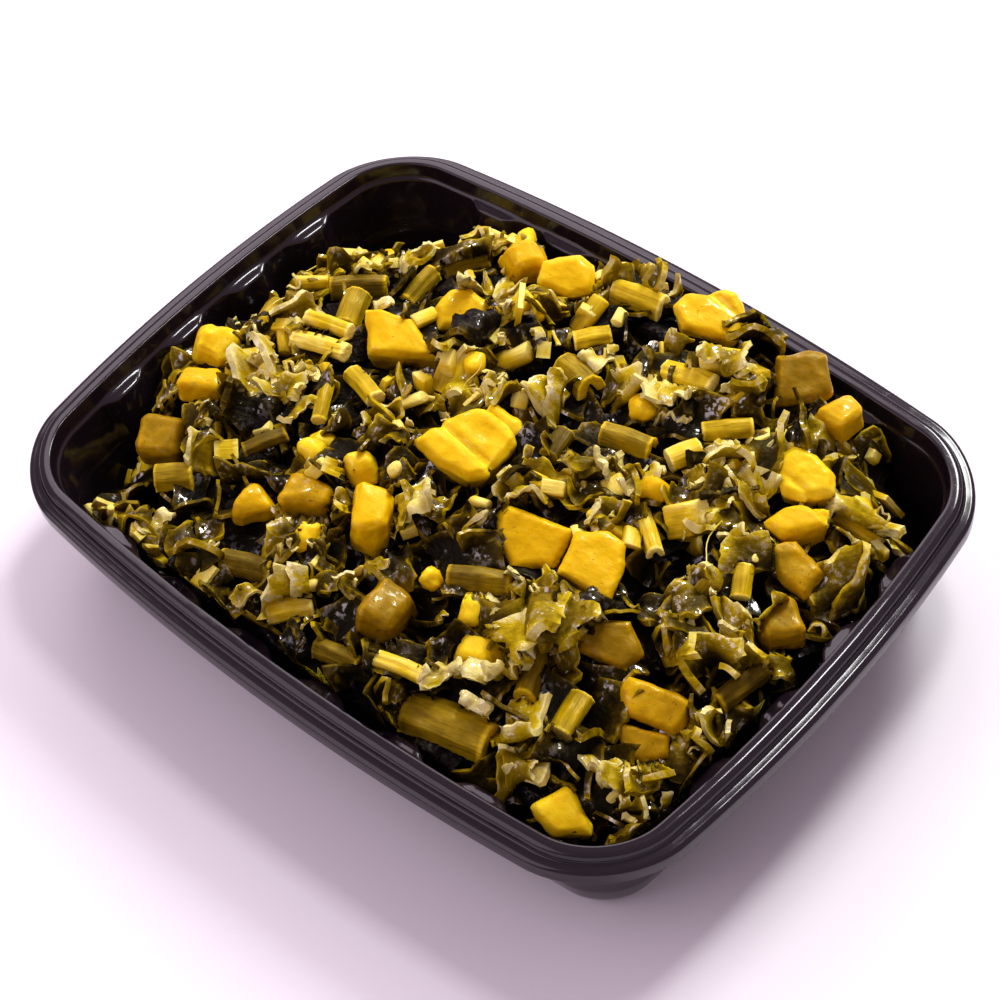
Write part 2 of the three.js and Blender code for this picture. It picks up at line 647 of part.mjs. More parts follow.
// Section across a stalk: a full oval, or a channel where the stalk was split open
function stalkSection(width, thick, hollow) {
  const shape = new THREE.Shape();
  const halfWidth = width / 2;
  const halfThick = thick / 2;
  const steps = hollow ? CHANNEL_SIDES : STALK_SIDES;
  const sweep = hollow ? Math.PI : 2 * Math.PI;
  const count = hollow ? steps + 1 : steps;
  for (let step = 0; step < count; step += 1) {
    const angle = (sweep * step) / steps;
    const x = halfWidth * Math.cos(angle);
    const y = hollow ? thick * Math.sin(angle) - halfThick : halfThick * Math.sin(angle);
    if (step === 0) shape.moveTo(x, y);
    else shape.lineTo(x, y);
  }
  if (hollow) {
    const wall = CHANNEL_WALL * width;
    shape.lineTo(-halfWidth + wall, -halfThick);
    shape.lineTo(0, CHANNEL_CROWN * thick);
    shape.lineTo(halfWidth - wall, -halfThick);
  }
  return shape;
}

// Piece of chopped stalk, a little bent
function stalkGeometry({ at, length, width, thick, turn, tilt, hollow }) {
  const shape = stalkSection(width, thick, hollow);
  const geometry = new THREE.ExtrudeGeometry(shape, { depth: length, steps: 2, bevelEnabled: false });
  geometry.translate(0, 0, -length / 2);
  const position = geometry.attributes.position;
  const bend = STALK_BEND * length;
  for (let index = 0; index < position.count; index += 1) {
    const along = position.getZ(index) / (length / 2);
    position.setY(index, position.getY(index) - bend * along * along);
  }
  geometry.rotateX(Math.PI / 2);
  geometry.rotateZ(Math.PI / 2);
  geometry.rotateY(-tilt * DEGREE);
  geometry.rotateZ(turn * DEGREE);
  geometry.translate(...at);
  return geometry;
}

// Plain box that a chunk sits in with a clear gap
function chunkSocket({ at, size, turn }) {
  const [length, width, height] = size.map((side) => side * CHUNK_FULLEST + 2 * PIECE_GAP);
  const geometry = new THREE.BoxGeometry(length, width, height);
  geometry.rotateX(turn[2] * DEGREE);
  geometry.rotateY(turn[1] * DEGREE);
  geometry.rotateZ(turn[0] * DEGREE);
  geometry.translate(...at);
  return toSolid(geometry);
}

// Plain box that a stalk piece lies in with a clear gap
function stalkSocket({ at, length, width, thick, turn, tilt }) {
  const drop = STALK_BEND * length;
  const sides = [length, width, thick + drop].map((side) => side + 2 * PIECE_GAP);
  const geometry = new THREE.BoxGeometry(...sides);
  geometry.translate(0, 0, -drop / 2);
  geometry.rotateY(-tilt * DEGREE);
  geometry.rotateZ(turn * DEGREE);
  geometry.translate(...at);
  return toSolid(geometry);
}

// Heap of leaves with a socket for every chunk and stalk piece, as one body
function leafHeapGeometry() {
  const { Manifold } = manifoldLibrary;
  const sockets = Manifold.union([...CHUNKS.map(chunkSocket), ...STALKS.map(stalkSocket)]);
  const space = foodSpace();
  const core = heapCore().subtract(sockets);
  const smallPieces = clearSolids([...paleDice(), ...leafShreds()], sockets, space);
  const joined = Manifold.union([core, ...smallPieces]);
  const surfaces = joined.decompose();
  const [outerSurface] = surfaces.sort((a, b) => b.volume() - a.volume());
  return withoutShortEdges(toGeometry(outerSurface), SHORTEST_EDGE);
}

// Assembly
const group = new THREE.Group();

function addPiece(name, geometry, material) {
  const mesh = new THREE.Mesh(geometry, material);
  mesh.name = name;
  group.add(mesh);
}

const twoDigits = (number) => String(number + 1).padStart(2, '0');

addPiece('tray', trayGeometry(), blackPlastic);
addPiece('callaloo_leaf_heap', leafHeapGeometry(), leafGreen);
CHUNKS.forEach((chunk, number) => {
  addPiece(`squash_chunk_${twoDigits(number)}`, chunkGeometry(chunk, number), squashYellow);
});
STALKS.forEach((stalk, number) => {
  addPiece(`stalk_piece_${twoDigits(number)}`, stalkGeometry(stalk), stalkOlive);
});

export default group;
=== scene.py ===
"""A black plastic tray heaped with cooked callaloo leaves, chopped stalks and squash chunks.

Lengths are in millimetres until MM turns them to metres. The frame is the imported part's: +X along the
tray's long side, +Y along its short side, +Z up, and the origin under the middle of the tray's foot.
"""

import logging
import math
import random
from dataclasses import dataclass, field
from enum import Enum
from typing import Any, Callable, Iterable, Sequence

import bmesh
import bpy
import numpy as np
from mathutils import Euler, Matrix, Vector, geometry, noise
from mathutils.bvhtree import BVHTree


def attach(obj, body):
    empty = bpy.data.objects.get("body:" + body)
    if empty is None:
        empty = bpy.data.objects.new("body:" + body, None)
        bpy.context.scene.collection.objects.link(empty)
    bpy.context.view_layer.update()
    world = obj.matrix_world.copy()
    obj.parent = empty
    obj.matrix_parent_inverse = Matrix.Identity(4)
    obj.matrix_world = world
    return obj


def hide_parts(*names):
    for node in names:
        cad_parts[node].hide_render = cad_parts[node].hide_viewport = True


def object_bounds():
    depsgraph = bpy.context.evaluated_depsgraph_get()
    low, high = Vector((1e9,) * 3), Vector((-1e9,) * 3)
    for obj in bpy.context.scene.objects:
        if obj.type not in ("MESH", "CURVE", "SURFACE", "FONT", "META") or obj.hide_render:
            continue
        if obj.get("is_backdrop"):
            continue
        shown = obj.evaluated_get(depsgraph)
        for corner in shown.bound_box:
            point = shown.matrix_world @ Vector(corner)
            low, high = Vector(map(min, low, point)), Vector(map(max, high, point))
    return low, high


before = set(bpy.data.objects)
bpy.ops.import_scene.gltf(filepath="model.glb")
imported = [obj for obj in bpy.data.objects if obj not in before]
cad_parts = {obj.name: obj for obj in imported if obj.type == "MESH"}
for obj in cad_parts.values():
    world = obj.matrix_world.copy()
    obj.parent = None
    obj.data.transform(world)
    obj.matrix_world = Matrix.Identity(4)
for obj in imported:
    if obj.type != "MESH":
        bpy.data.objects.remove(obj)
CAD_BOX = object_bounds()

MM = 0.001
MODEL_LENGTH = 10.0
UP = Vector((0.0, 0.0, 1.0))
BODY = "root"
log = logging.getLogger("callaloo")

Colour = tuple[float, float, float]
Pair = tuple[float, float]
Stops = tuple[tuple[float, Colour], ...]


class Slot(Enum):
    """Material slots of the record."""

    TRAY = "tray"
    LEAF = "leaf"
    SQUASH = "squash"
    STALK = "stalk"


class Tone(Enum):
    """How dark a bit of cooked food is, as its place on its finish's colour ramp."""

    # Almost black: a dark leaf's own colour, and painted shade where the lowest sheets fill the gaps.
    BLACK_GREEN = 0.06
    DARK = 0.2
    OLIVE = 0.42
    YELLOW_OLIVE = 0.62
    GOLDEN = 0.8
    PALE = 0.97


def rise(value: float, low: float, high: float) -> float:
    """Goes smoothly from 0 at a low value to 1 at a high one."""
    share = min(max((value - low) / (high - low), 0.0), 1.0)
    return share * share * (3 - 2 * share)


def direction(bearing: float, elevation: float) -> Vector:
    """Gives a unit direction from a bearing counter-clockwise from +X and an elevation, in degrees."""
    turn, lift = math.radians(bearing), math.radians(elevation)
    return Vector((math.cos(turn) * math.cos(lift), math.sin(turn) * math.cos(lift), math.sin(lift)))


# Blender's tools, used on one object at a time


class Bench:
    """Operators as they are used by hand, with the selection cleared first."""

    @staticmethod
    def clear_selection() -> None:
        """Deselects everything in object mode."""
        if bpy.context.mode != "OBJECT":
            bpy.ops.object.mode_set(mode="OBJECT")
        bpy.ops.object.select_all(action="DESELECT")

    @staticmethod
    def activate(piece: bpy.types.Object) -> None:
        """Selects one piece alone and makes it the active one."""
        Bench.clear_selection()
        piece.select_set(True)
        bpy.context.view_layer.objects.active = piece

    @staticmethod
    def begin(primitive: Callable[..., Any], **settings: Any) -> bpy.types.Object:
        """Adds a primitive at the origin, to be shaped into a piece.

        Args:
            primitive: the operator that adds it.
            **settings: the operator's values by name.

        Returns:
            The primitive's object.
        """
        Bench.clear_selection()
        primitive(**settings)
        return bpy.context.object

    @staticmethod
    def modify(piece: bpy.types.Object, kind: str, **settings: Any) -> None:
        """Adds one modifier and applies it.

        Args:
            piece: the piece to change.
            kind: the modifier's type.
            **settings: the modifier's values by name.
        """
        Bench.activate(piece)
        modifier = piece.modifiers.new(kind.lower(), kind)
        for name, value in settings.items():
            setattr(modifier, name, value)
        bpy.ops.object.modifier_apply(modifier=modifier.name)

    @staticmethod
    def roughen(piece: bpy.types.Object, lumps: Sequence[Pair], depth: int, middle: float = 0.5) -> None:
        """Raises layers of cloudy lumps on a piece.

        Args:
            piece: the piece to change.
            lumps: the size and the height of each layer's lumps, in millimetres.
            depth: how many finer layers each layer has.
            middle: the share of the height that lies below the surface as it was.
        """
        for size, height in lumps:
            texture = bpy.data.textures.new("lumps", "CLOUDS")
            texture.noise_scale = size * MM
            texture.noise_depth = depth
            Bench.modify(piece, "DISPLACE", texture=texture, strength=height * MM, mid_level=middle)

    @staticmethod
    def edit(piece: bpy.types.Object, step: Callable[..., Any], **settings: Any) -> None:
        """Runs one operator on all of a piece in edit mode.

        Args:
            piece: the piece to change.
            step: the operator.
            **settings: the operator's values by name.
        """
        Bench.activate(piece)
        bpy.ops.object.mode_set(mode="EDIT")
        bpy.ops.mesh.select_all(action="SELECT")
        step(**settings)
        bpy.ops.object.mode_set(mode="OBJECT")

    @staticmethod
    def face_outwards(piece: bpy.types.Object) -> None:
        """Turns all faces of a closed piece to point out."""
        Bench.edit(piece, bpy.ops.mesh.normals_make_consistent, inside=False)

    @staticmethod
    def smooth(piece: bpy.types.Object, angle: float) -> None:
        """Shades a piece smooth except across edges sharper than an angle in degrees."""
        Bench.activate(piece)
        bpy.ops.object.shade_smooth_by_angle(angle=math.radians(angle))

    @staticmethod
    def copy(piece: bpy.types.Object, name: str) -> bpy.types.Object:
        """Copies a piece with a mesh of its own.

        Args:
            piece: the piece to copy.
            name: the copy's name.

        Returns:
            The copy, linked to the scene.
        """
        made = bpy.data.objects.new(name, piece.data.copy())
        bpy.context.scene.collection.objects.link(made)
        return made

    @staticmethod
    def softened(node: str, name: str, voxel: float, smoothing: int) -> bpy.types.Object:
        """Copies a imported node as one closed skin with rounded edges.

        Args:
            node: the node's name.
            name: the copy's name.
            voxel: how fine the skin is, in millimetres.
            smoothing: how many times it is smoothed.

        Returns:
            The copy.
        """
        made = Bench.copy(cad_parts[node], name)
        Bench.edit(made, bpy.ops.mesh.remove_doubles, threshold=0.01 * MM)
        Bench.modify(made, "REMESH", mode="VOXEL", voxel_size=voxel * MM)
        Bench.modify(made, "SMOOTH", factor=0.5, iterations=smoothing)
        return made

    @staticmethod
    def join(pieces: Sequence[bpy.types.Object], name: str) -> bpy.types.Object:
        """Joins pieces into one.

        Args:
            pieces: at least one piece.
            name: the joined piece's name.

        Returns:
            The joined piece.
        """
        Bench.activate(pieces[0])
        for piece in pieces:
            piece.select_set(True)
        bpy.ops.object.join()
        joined = bpy.context.object
        joined.name = name
        joined.data.name = name
        return joined

    @staticmethod
    def points(piece: bpy.types.Object) -> np.ndarray:
        """Reads where a piece's vertices are.

        Args:
            piece: the piece.

        Returns:
            Rows of x, y, z in metres.
        """
        flat = np.empty(3 * len(piece.data.vertices))
        piece.data.vertices.foreach_get("co", flat)
        return flat.reshape(-1, 3)

    @staticmethod
    def set_points(piece: bpy.types.Object, points: np.ndarray) -> None:
        """Moves a piece's vertices to rows of x, y, z in metres."""
        piece.data.vertices.foreach_set("co", points.ravel())
        piece.data.update()

    @staticmethod
    def press_in(piece: bpy.types.Object, depths: np.ndarray) -> None:
        """Moves each vertex inwards, square to the surface, by its depth in millimetres."""
        normals = np.array([vertex.normal for vertex in piece.data.vertices])
        Bench.set_points(piece, Bench.points(piece) - normals * (depths * MM)[:, None])

    @staticmethod
    def mark(piece: bpy.types.Object, name: str, values: np.ndarray) -> None:
        """Stores values on a piece for its finish to read.

        Args:
            piece: the piece to mark.
            name: the attribute's name.
            values: one number or one vector for each vertex.
        """
        mesh = piece.data
        kind, key = ("FLOAT_VECTOR", "vector") if values.ndim == 2 else ("FLOAT", "value")
        attribute = mesh.attributes.get(name) or mesh.attributes.new(name, kind, "POINT")
        attribute.data.foreach_set(key, values.ravel())

    @staticmethod
    def mark_look(piece: bpy.types.Object, grain: np.ndarray, tone: float, edge: np.ndarray) -> None:
        """Stores all that the food's finishes read.

        Args:
            piece: the piece to mark.
            grain: each vertex's place in the finish's pattern, in metres.
            tone: the piece's place on the colour ramp.
            edge: how near each vertex is to a cut or a rim, from 0 to 1.
        """
        Bench.mark(piece, "grain", grain)
        Bench.mark(piece, "tone", np.full(len(grain), tone))
        Bench.mark(piece, "edge", edge)

    @staticmethod
    def remove(pieces: Iterable[bpy.types.Object]) -> None:
        """Removes pieces that were only models for copies."""
        for piece in pieces:
            bpy.data.objects.remove(piece)


def loft(name: str, rings: Sequence[np.ndarray]) -> bpy.types.Object:
    """Extrudes a closed ring of points through a stack of rings and closes both ends.

    Args:
        name: the piece's name.
        rings: rows of x, y, z in millimetres, the same number in each ring.

    Returns:
        The closed piece.
    """

    def lay(ring: np.ndarray) -> None:
        """Moves the selected vertices to a ring's points, each to its own station's."""
        shape = bmesh.from_edit_mesh(piece.data)
        station = shape.verts.layers.int["station"]
        for vertex in shape.verts:
            if vertex.select:
                vertex.co = ring[vertex[station]] * MM
        bmesh.update_edit_mesh(piece.data)

    def close(first: int) -> None:
        """Closes the ring of vertices that starts at an index with one face."""
        bpy.ops.mesh.select_all(action="DESELECT")
        shape = bmesh.from_edit_mesh(piece.data)
        shape.verts.ensure_lookup_table()
        for vertex in shape.verts[first:first + count]:
            vertex.select = True
        shape.select_flush(True)
        bpy.ops.mesh.edge_face_add()

    count = len(rings[0])
    piece = Bench.begin(bpy.ops.mesh.primitive_circle_add, vertices=count, radius=1.0, fill_type="NOTHING")
    piece.name = name
    piece.data.name = name
    stations = piece.data.attributes.new("station", "INT", "POINT")
    stations.data.foreach_set("value", list(range(count)))
    bpy.ops.object.mode_set(mode="EDIT")
    bpy.ops.mesh.select_mode(type="EDGE")
    bpy.ops.mesh.select_all(action="SELECT")
    lay(rings[0])
    for ring in rings[1:]:
        bpy.ops.mesh.extrude_edges_move()
        lay(ring)
    close(0)
    close(count * (len(rings) - 1))
    bpy.ops.mesh.select_all(action="SELECT")
    bpy.ops.mesh.normals_make_consistent(inside=False)
    bpy.ops.object.mode_set(mode="OBJECT")
    piece.data.attributes.remove(piece.data.attributes["station"])
    return piece


# Shader building


class Value:
    """A number that changes over a surface. Python's operators on it add Math nodes."""

    def __init__(self, shader: "Shader", socket: bpy.types.NodeSocket) -> None:
        """Wraps an output socket of a shader's node."""
        self.shader = shader
        self.socket = socket

    def __add__(self, other: "Value | float") -> "Value":
        """Adds a value or a number."""
        return self.shader.math("ADD", self, other)

    def __sub__(self, other: "Value | float") -> "Value":
        """Subtracts a value or a number."""
        return self.shader.math("SUBTRACT", self, other)

    def __rsub__(self, other: float) -> "Value":
        """Subtracts this value from a number."""
        return self.shader.math("SUBTRACT", other, self)

    def __mul__(self, other: "Value | float") -> "Value":
        """Multiplies by a value or a number."""
        return self.shader.math("MULTIPLY", self, other)

    def __pow__(self, other: "Value | float") -> "Value":
        """Raises to a power."""
        return self.shader.math("POWER", self, other)

    __radd__ = __add__
    __rmul__ = __mul__

    def clamped(self) -> "Value":
        """Keeps the value between 0 and 1."""
        return Value(self.shader, self.shader.node("ShaderNodeClamp", {}, {0: self}).outputs[0])

    def between(self, low: float, high: float) -> "Value":
        """Rises smoothly from 0 to 1.

        Args:
            low: where the value gives 0.
            high: where it gives 1.

        Returns:
            The share.
        """
        settings = {"interpolation_type": "SMOOTHSTEP"}
        node = self.shader.node("ShaderNodeMapRange", settings, {0: self, 1: low, 2: high})
        return Value(self.shader, node.outputs[0])


class Shader:
    """One material, built by naming its nodes and what feeds them."""

    def __init__(self, name: str) -> None:
        """Starts a material with a Principled surface."""
        self.material = bpy.data.materials.new(name)
        self.material.use_nodes = True
        self.tree = self.material.node_tree
        self.surface = next(n for n in self.tree.nodes if n.type == "BSDF_PRINCIPLED")

    def node(self, kind: str, settings: dict[str, Any], inputs: dict[Any, Any]) -> bpy.types.Node:
        """Adds a node.

        Args:
            kind: the node's type name.
            settings: its properties, set first; "stops" lays a colour ramp's stops.
            inputs: values or links of its sockets, by name or number.

        Returns:
            The node.
        """
        made = self.tree.nodes.new(kind)
        for name, value in settings.items():
            if name == "stops":
                self._lay_stops(made.color_ramp, value)
            else:
                setattr(made, name, value)
        for key, value in inputs.items():
            self.feed(made.inputs[key], value)
        return made

    @staticmethod
    def _lay_stops(ramp: bpy.types.ColorRamp, stops: Stops) -> None:
        """Lays a colour ramp's stops from positions and colours."""
        while len(ramp.elements) < len(stops):
            ramp.elements.new(1.0)
        for element, (position, colour) in zip(ramp.elements, stops):
            element.position = position
            element.color = (*colour, 1.0)

    def feed(self, socket: bpy.types.NodeSocket, value: Any) -> None:
        """Links or sets one input socket.

        Args:
            socket: the input socket.
            value: a Value or an output socket to link, or a plain value to set.
        """
        if isinstance(value, Value):
            value = value.socket
        if isinstance(value, bpy.types.NodeSocket):
            self.tree.links.new(value, socket)
        else:
            socket.default_value = value

    def math(self, operation: str, first: "Value | float", second: "Value | float") -> Value:
        """Adds a Math node on two values or numbers."""
        node = self.node("ShaderNodeMath", {"operation": operation}, {0: first, 1: second})
        return Value(self, node.outputs[0])

    def place(self) -> bpy.types.NodeSocket:
        """Reads the place on the piece, in metres."""
        return self.node("ShaderNodeTexCoord", {}, {}).outputs["Object"]

    def grain(self) -> bpy.types.NodeSocket:
        """Reads the place in the pattern that is stored on the mesh, in metres."""
        return self.node("ShaderNodeAttribute", {"attribute_name": "grain"}, {}).outputs["Vector"]

    def number(self, name: str) -> Value:
        """Reads a number stored on the mesh."""
        return Value(self, self.node("ShaderNodeAttribute", {"attribute_name": name}, {}).outputs["Fac"])

    def noise(self, place: bpy.types.NodeSocket, size: float, detail: float = 3.0,
              distortion: float = 0.0) -> Value:
        """Adds soft noise.

        Args:
            place: the coordinates in metres.
            size: the size of its spots in millimetres.
            detail: how many finer layers it has.
            distortion: how far it is warped.

        Returns:
            The noise from 0 to 1.
        """
        inputs = {"Vector": place, "Scale": 1.0 / (size * MM), "Detail": detail, "Distortion": distortion}
        return Value(self, self.node("ShaderNodeTexNoise", {}, inputs).outputs[0])

    def stretched(self, place: bpy.types.NodeSocket, scale: Colour) -> bpy.types.NodeSocket:
        """Scales coordinates along each axis."""
        return self.node("ShaderNodeMapping", {}, {"Vector": place, "Scale": scale}).outputs[0]

    def ramp(self, value: Value, stops: Stops) -> bpy.types.NodeSocket:
        """Turns a value, kept between 0 and 1, into a colour."""
        return self.node("ShaderNodeValToRGB", {"stops": stops}, {0: value.clamped()}).outputs[0]

    def mix(self, share: Value, first: Any, second: Any) -> bpy.types.NodeSocket:
        """Mixes two colours.

        Args:
            share: the second colour's share, from 0 to 1.
            first: a colour, or the socket that gives it.
            second: the other colour or socket.

        Returns:
            The mixed colour.
        """
        ends = [(*c, 1.0) if isinstance(c, tuple) else c for c in (first, second)]
        node = self.node("ShaderNodeMix", {"data_type": "RGBA"}, {0: share, 6: ends[0], 7: ends[1]})
        return node.outputs[2]

    def bump(self, height: Value, depth: float) -> bpy.types.NodeSocket:
        """Adds relief of a depth in millimetres from a height of 0 to 1."""
        inputs = {"Strength": 1.0, "Distance": depth * MM, "Height": height}
        return self.node("ShaderNodeBump", {}, inputs).outputs[0]

    def finish(self, **sockets: Any) -> bpy.types.Material:
        """Sets the Principled surface's sockets.

        Args:
            **sockets: values or links, by the socket's name with _ for a space.

        Returns:
            The finished material.
        """
        for name, value in sockets.items():
            self.feed(self.surface.inputs[name.replace("_", " ")], value)
        return self.material


# Finishes


@dataclass(frozen=True)
class BlackPlastic:
    """Glossy thermoformed black plastic with a faint purple-brown tint."""

    body: Colour = (0.019, 0.012, 0.0175)
    scuffed: Colour = (0.036, 0.027, 0.033)
    roughness: float = 0.1
    relief_depth: float = 0.12

    def material(self) -> bpy.types.Material:
        """Builds the finish.

        Returns:
            Its material.
        """
        shader = Shader("black_plastic")
        place = shader.place()
        cloudy = shader.noise(place, size=26.0, detail=2.0)
        drawn_out = shader.stretched(place, (1.0, 1.0, 5.0))
        scuffs = shader.noise(drawn_out, size=3.5, detail=5.0, distortion=1.4)
        worn = scuffs.between(0.6, 0.82) * cloudy.between(0.35, 0.7)
        ripple = shader.noise(place, size=9.0, detail=1.0)
        return shader.finish(
            Base_Color=shader.mix(worn, self.body, self.scuffed),
            Roughness=self.roughness + 0.05 * cloudy + 0.2 * worn,
            Specular_IOR_Level=0.55,
            Normal=shader.bump(ripple + 0.012 * scuffs, self.relief_depth),
        )


@dataclass(frozen=True)
class CookedLeaf:
    """Wet cooked leaf, from almost black green through olive to pale, with a painted highlight on its rims
    and painted sheen in small spots.
    """

    stops: Stops = (
        (0.0, (0.004, 0.0026, 0.005)),
        (0.22, (0.008, 0.0052, 0.0006)),
        (0.44, (0.07, 0.046, 0.0006)),
        (0.63, (0.275, 0.19, 0.0012)),
        (0.81, (0.55, 0.405, 0.006)),
        (1.0, (0.8, 0.7, 0.28)),
    )
    painted_sheen_colour: Colour = (0.72, 0.68, 0.62)
    relief_depth: float = 1.0

    def material(self) -> bpy.types.Material:
        """Builds the finish.

        Returns:
            Its material.
        """
        shader = Shader("cooked_leaf")
        grain = shader.grain()
        blotches = shader.noise(grain, size=6.0, distortion=0.6)
        specks = shader.noise(grain, size=1.3, detail=4.0)
        wrinkles = shader.noise(shader.stretched(grain, (1.0, 2.2, 1.0)), size=2.4, distortion=0.4)
        rim = shader.number("edge") ** 6.0
        tone = shader.number("tone") + 0.5 * (blotches - 0.5) + 0.16 * (specks - 0.5)
        # Painted highlight: the rims are coloured paler, where thin edges would catch the light.
        tone = tone + 0.3 * rim * blotches.between(0.2, 0.5)
        # Painted sheen: small spots are mixed towards a pale silvery colour, standing in for reflection on
        # the wet leaf.
        painted_sheen_spots = specks.between(0.58, 0.72) * blotches.between(0.48, 0.6) * tone.between(0.3, 0.7)
        relief = 0.5 * blotches + 0.4 * wrinkles + 0.24 * specks
        wet = blotches.between(0.46, 0.56) * specks.between(0.46, 0.56)
        wet = wet * (0.35 + 0.65 * tone.between(0.15, 0.42))
        return shader.finish(
            Base_Color=shader.mix(painted_sheen_spots * 0.5, shader.ramp(tone, self.stops), self.painted_sheen_colour),
            Roughness=0.45 + 0.1 * specks,
            Specular_IOR_Level=0.18,
            Specular_Tint=(1.0, 0.9, 0.6, 1.0),
            Coat_Weight=wet,
            Coat_Roughness=0.09,
            Coat_IOR=2.4,
            Subsurface_Weight=0.2,
            Subsurface_Radius=(1.0, 0.75, 0.06),
            Subsurface_Scale=1.1 * MM,
            Normal=shader.bump(relief, self.relief_depth),
        )


@dataclass(frozen=True)
class CookedSquash:
    """Soft cooked squash: translucent golden flesh, paler where its surface turns sharply, with fine pits
    painted darker as painted shade.
    """

    stops: Stops = (
        (0.0, (0.11, 0.06, 0.0006)),
        (0.3, (0.3, 0.175, 0.001)),
        (0.55, (0.6, 0.362, 0.001)),
        (0.8, (0.78, 0.49, 0.001)),
        (1.0, (0.9, 0.65, 0.02)),
    )
    relief_depth: float = 0.55

    def material(self) -> bpy.types.Material:
        """Builds the finish.

        Returns:
            Its material.
        """
        shader = Shader("cooked_squash")
        grain = shader.grain()
        clouds = shader.noise(grain, size=7.0, detail=2.0, distortion=0.4)
        fibres = shader.noise(shader.stretched(grain, (0.4, 1.0, 1.6)), size=1.6)
        pits = shader.noise(grain, size=0.9, detail=2.0).between(0.66, 0.8)
        tone = shader.number("tone") + 0.4 * (clouds - 0.5) + 0.14 * (fibres - 0.5)
        # Painted shade: the pits are coloured darker as well as pressed in; sharply turning parts are made
        # paler.
        tone = tone + 0.22 * shader.number("edge") - 0.18 * pits
        return shader.finish(
            Base_Color=shader.ramp(tone, self.stops),
            Roughness=0.5 - 0.2 * clouds.between(0.4, 0.65) + 0.1 * fibres,
            Specular_IOR_Level=0.4,
            Specular_Tint=(1.0, 0.88, 0.4, 1.0),
            Coat_Weight=0.6 * clouds.between(0.48, 0.56) * fibres.between(0.5, 0.58),
            Coat_Roughness=0.12,
            Coat_IOR=1.6,
            Subsurface_Weight=0.4,
            Subsurface_Radius=(1.0, 0.5, 0.03),
            Subsurface_Scale=2.6 * MM,
            Normal=shader.bump(0.6 * clouds + 0.3 * fibres - 0.3 * pits, self.relief_depth),
        )


@dataclass(frozen=True)
class CookedStalk:
    """Cooked stalk: fibrous yellow olive sides and pale cut ends."""

    stops: Stops = (
        (0.0, (0.03, 0.019, 0.0006)),
        (0.3, (0.16, 0.106, 0.001)),
        (0.55, (0.43, 0.295, 0.002)),
        (0.78, (0.76, 0.54, 0.008)),
        (1.0, (0.92, 0.76, 0.2)),
    )
    relief_depth: float = 0.4

    def material(self) -> bpy.types.Material:
        """Builds the finish.

        Returns:
            Its material.
        """
        shader = Shader("cooked_stalk")
        grain = shader.grain()
        fibres = shader.noise(shader.stretched(grain, (0.12, 1.0, 1.0)), size=0.8)
        clouds = shader.noise(grain, size=5.0, detail=2.0)
        cut = shader.number("edge")
        tone = shader.number("tone") + 0.26 * (fibres - 0.5) + 0.44 * (clouds - 0.5) + 0.3 * cut
        return shader.finish(
            Base_Color=shader.ramp(tone, self.stops),
            Roughness=0.6 - 0.35 * clouds.between(0.4, 0.65) + 0.1 * fibres,
            Specular_IOR_Level=0.4,
            Specular_Tint=(1.0, 0.92, 0.7, 1.0),
            Subsurface_Weight=0.3,
            Subsurface_Radius=(1.0, 0.65, 0.08),
            Subsurface_Scale=1.6 * MM,
            Normal=shader.bump(0.8 * fibres + 0.4 * clouds, self.relief_depth),
        )


@dataclass(frozen=True)
class PlainFloor:
    """Plain pale surface that the tray stands on."""

    colour: Colour = (0.9, 0.865, 0.905)

    def material(self) -> bpy.types.Material:
        """Builds the finish and returns its material."""
        return Shader("plain_floor").finish(Base_Color=(*self.colour, 1.0), Roughness=0.85)


@dataclass
class Finishes:
    """The finish of each material slot, built once."""

    made: dict[Slot, bpy.types.Material] = field(default_factory=lambda: {
        Slot.TRAY: BlackPlastic().material(),
        Slot.LEAF: CookedLeaf().material(),
        Slot.SQUASH: CookedSquash().material(),
        Slot.STALK: CookedStalk().material(),
    })

    def dress(self, piece: bpy.types.Object, slot: Slot, *nodes: str) -> None:
        """Gives a piece its finish, body and slot, and reports it.

        Args:
            piece: the finished piece.
            slot: the record's slot.
            *nodes: the CAD nodes that the piece stands for.
        """
        piece.data.materials.clear()
        piece.data.materials.append(self.made[slot])
        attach(piece, BODY)
        if nodes:
            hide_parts(*nodes)
        log.info("%s: %d faces", piece.name, len(piece.data.polygons))


# Tray


@dataclass(frozen=True)
class SectionStep:
    """One corner of the tray's section: inset from the outer edge, height, flute depth, rounding."""

    inset: float
    height: float
    flute: float = 0.0
    rounding: float = 0.4


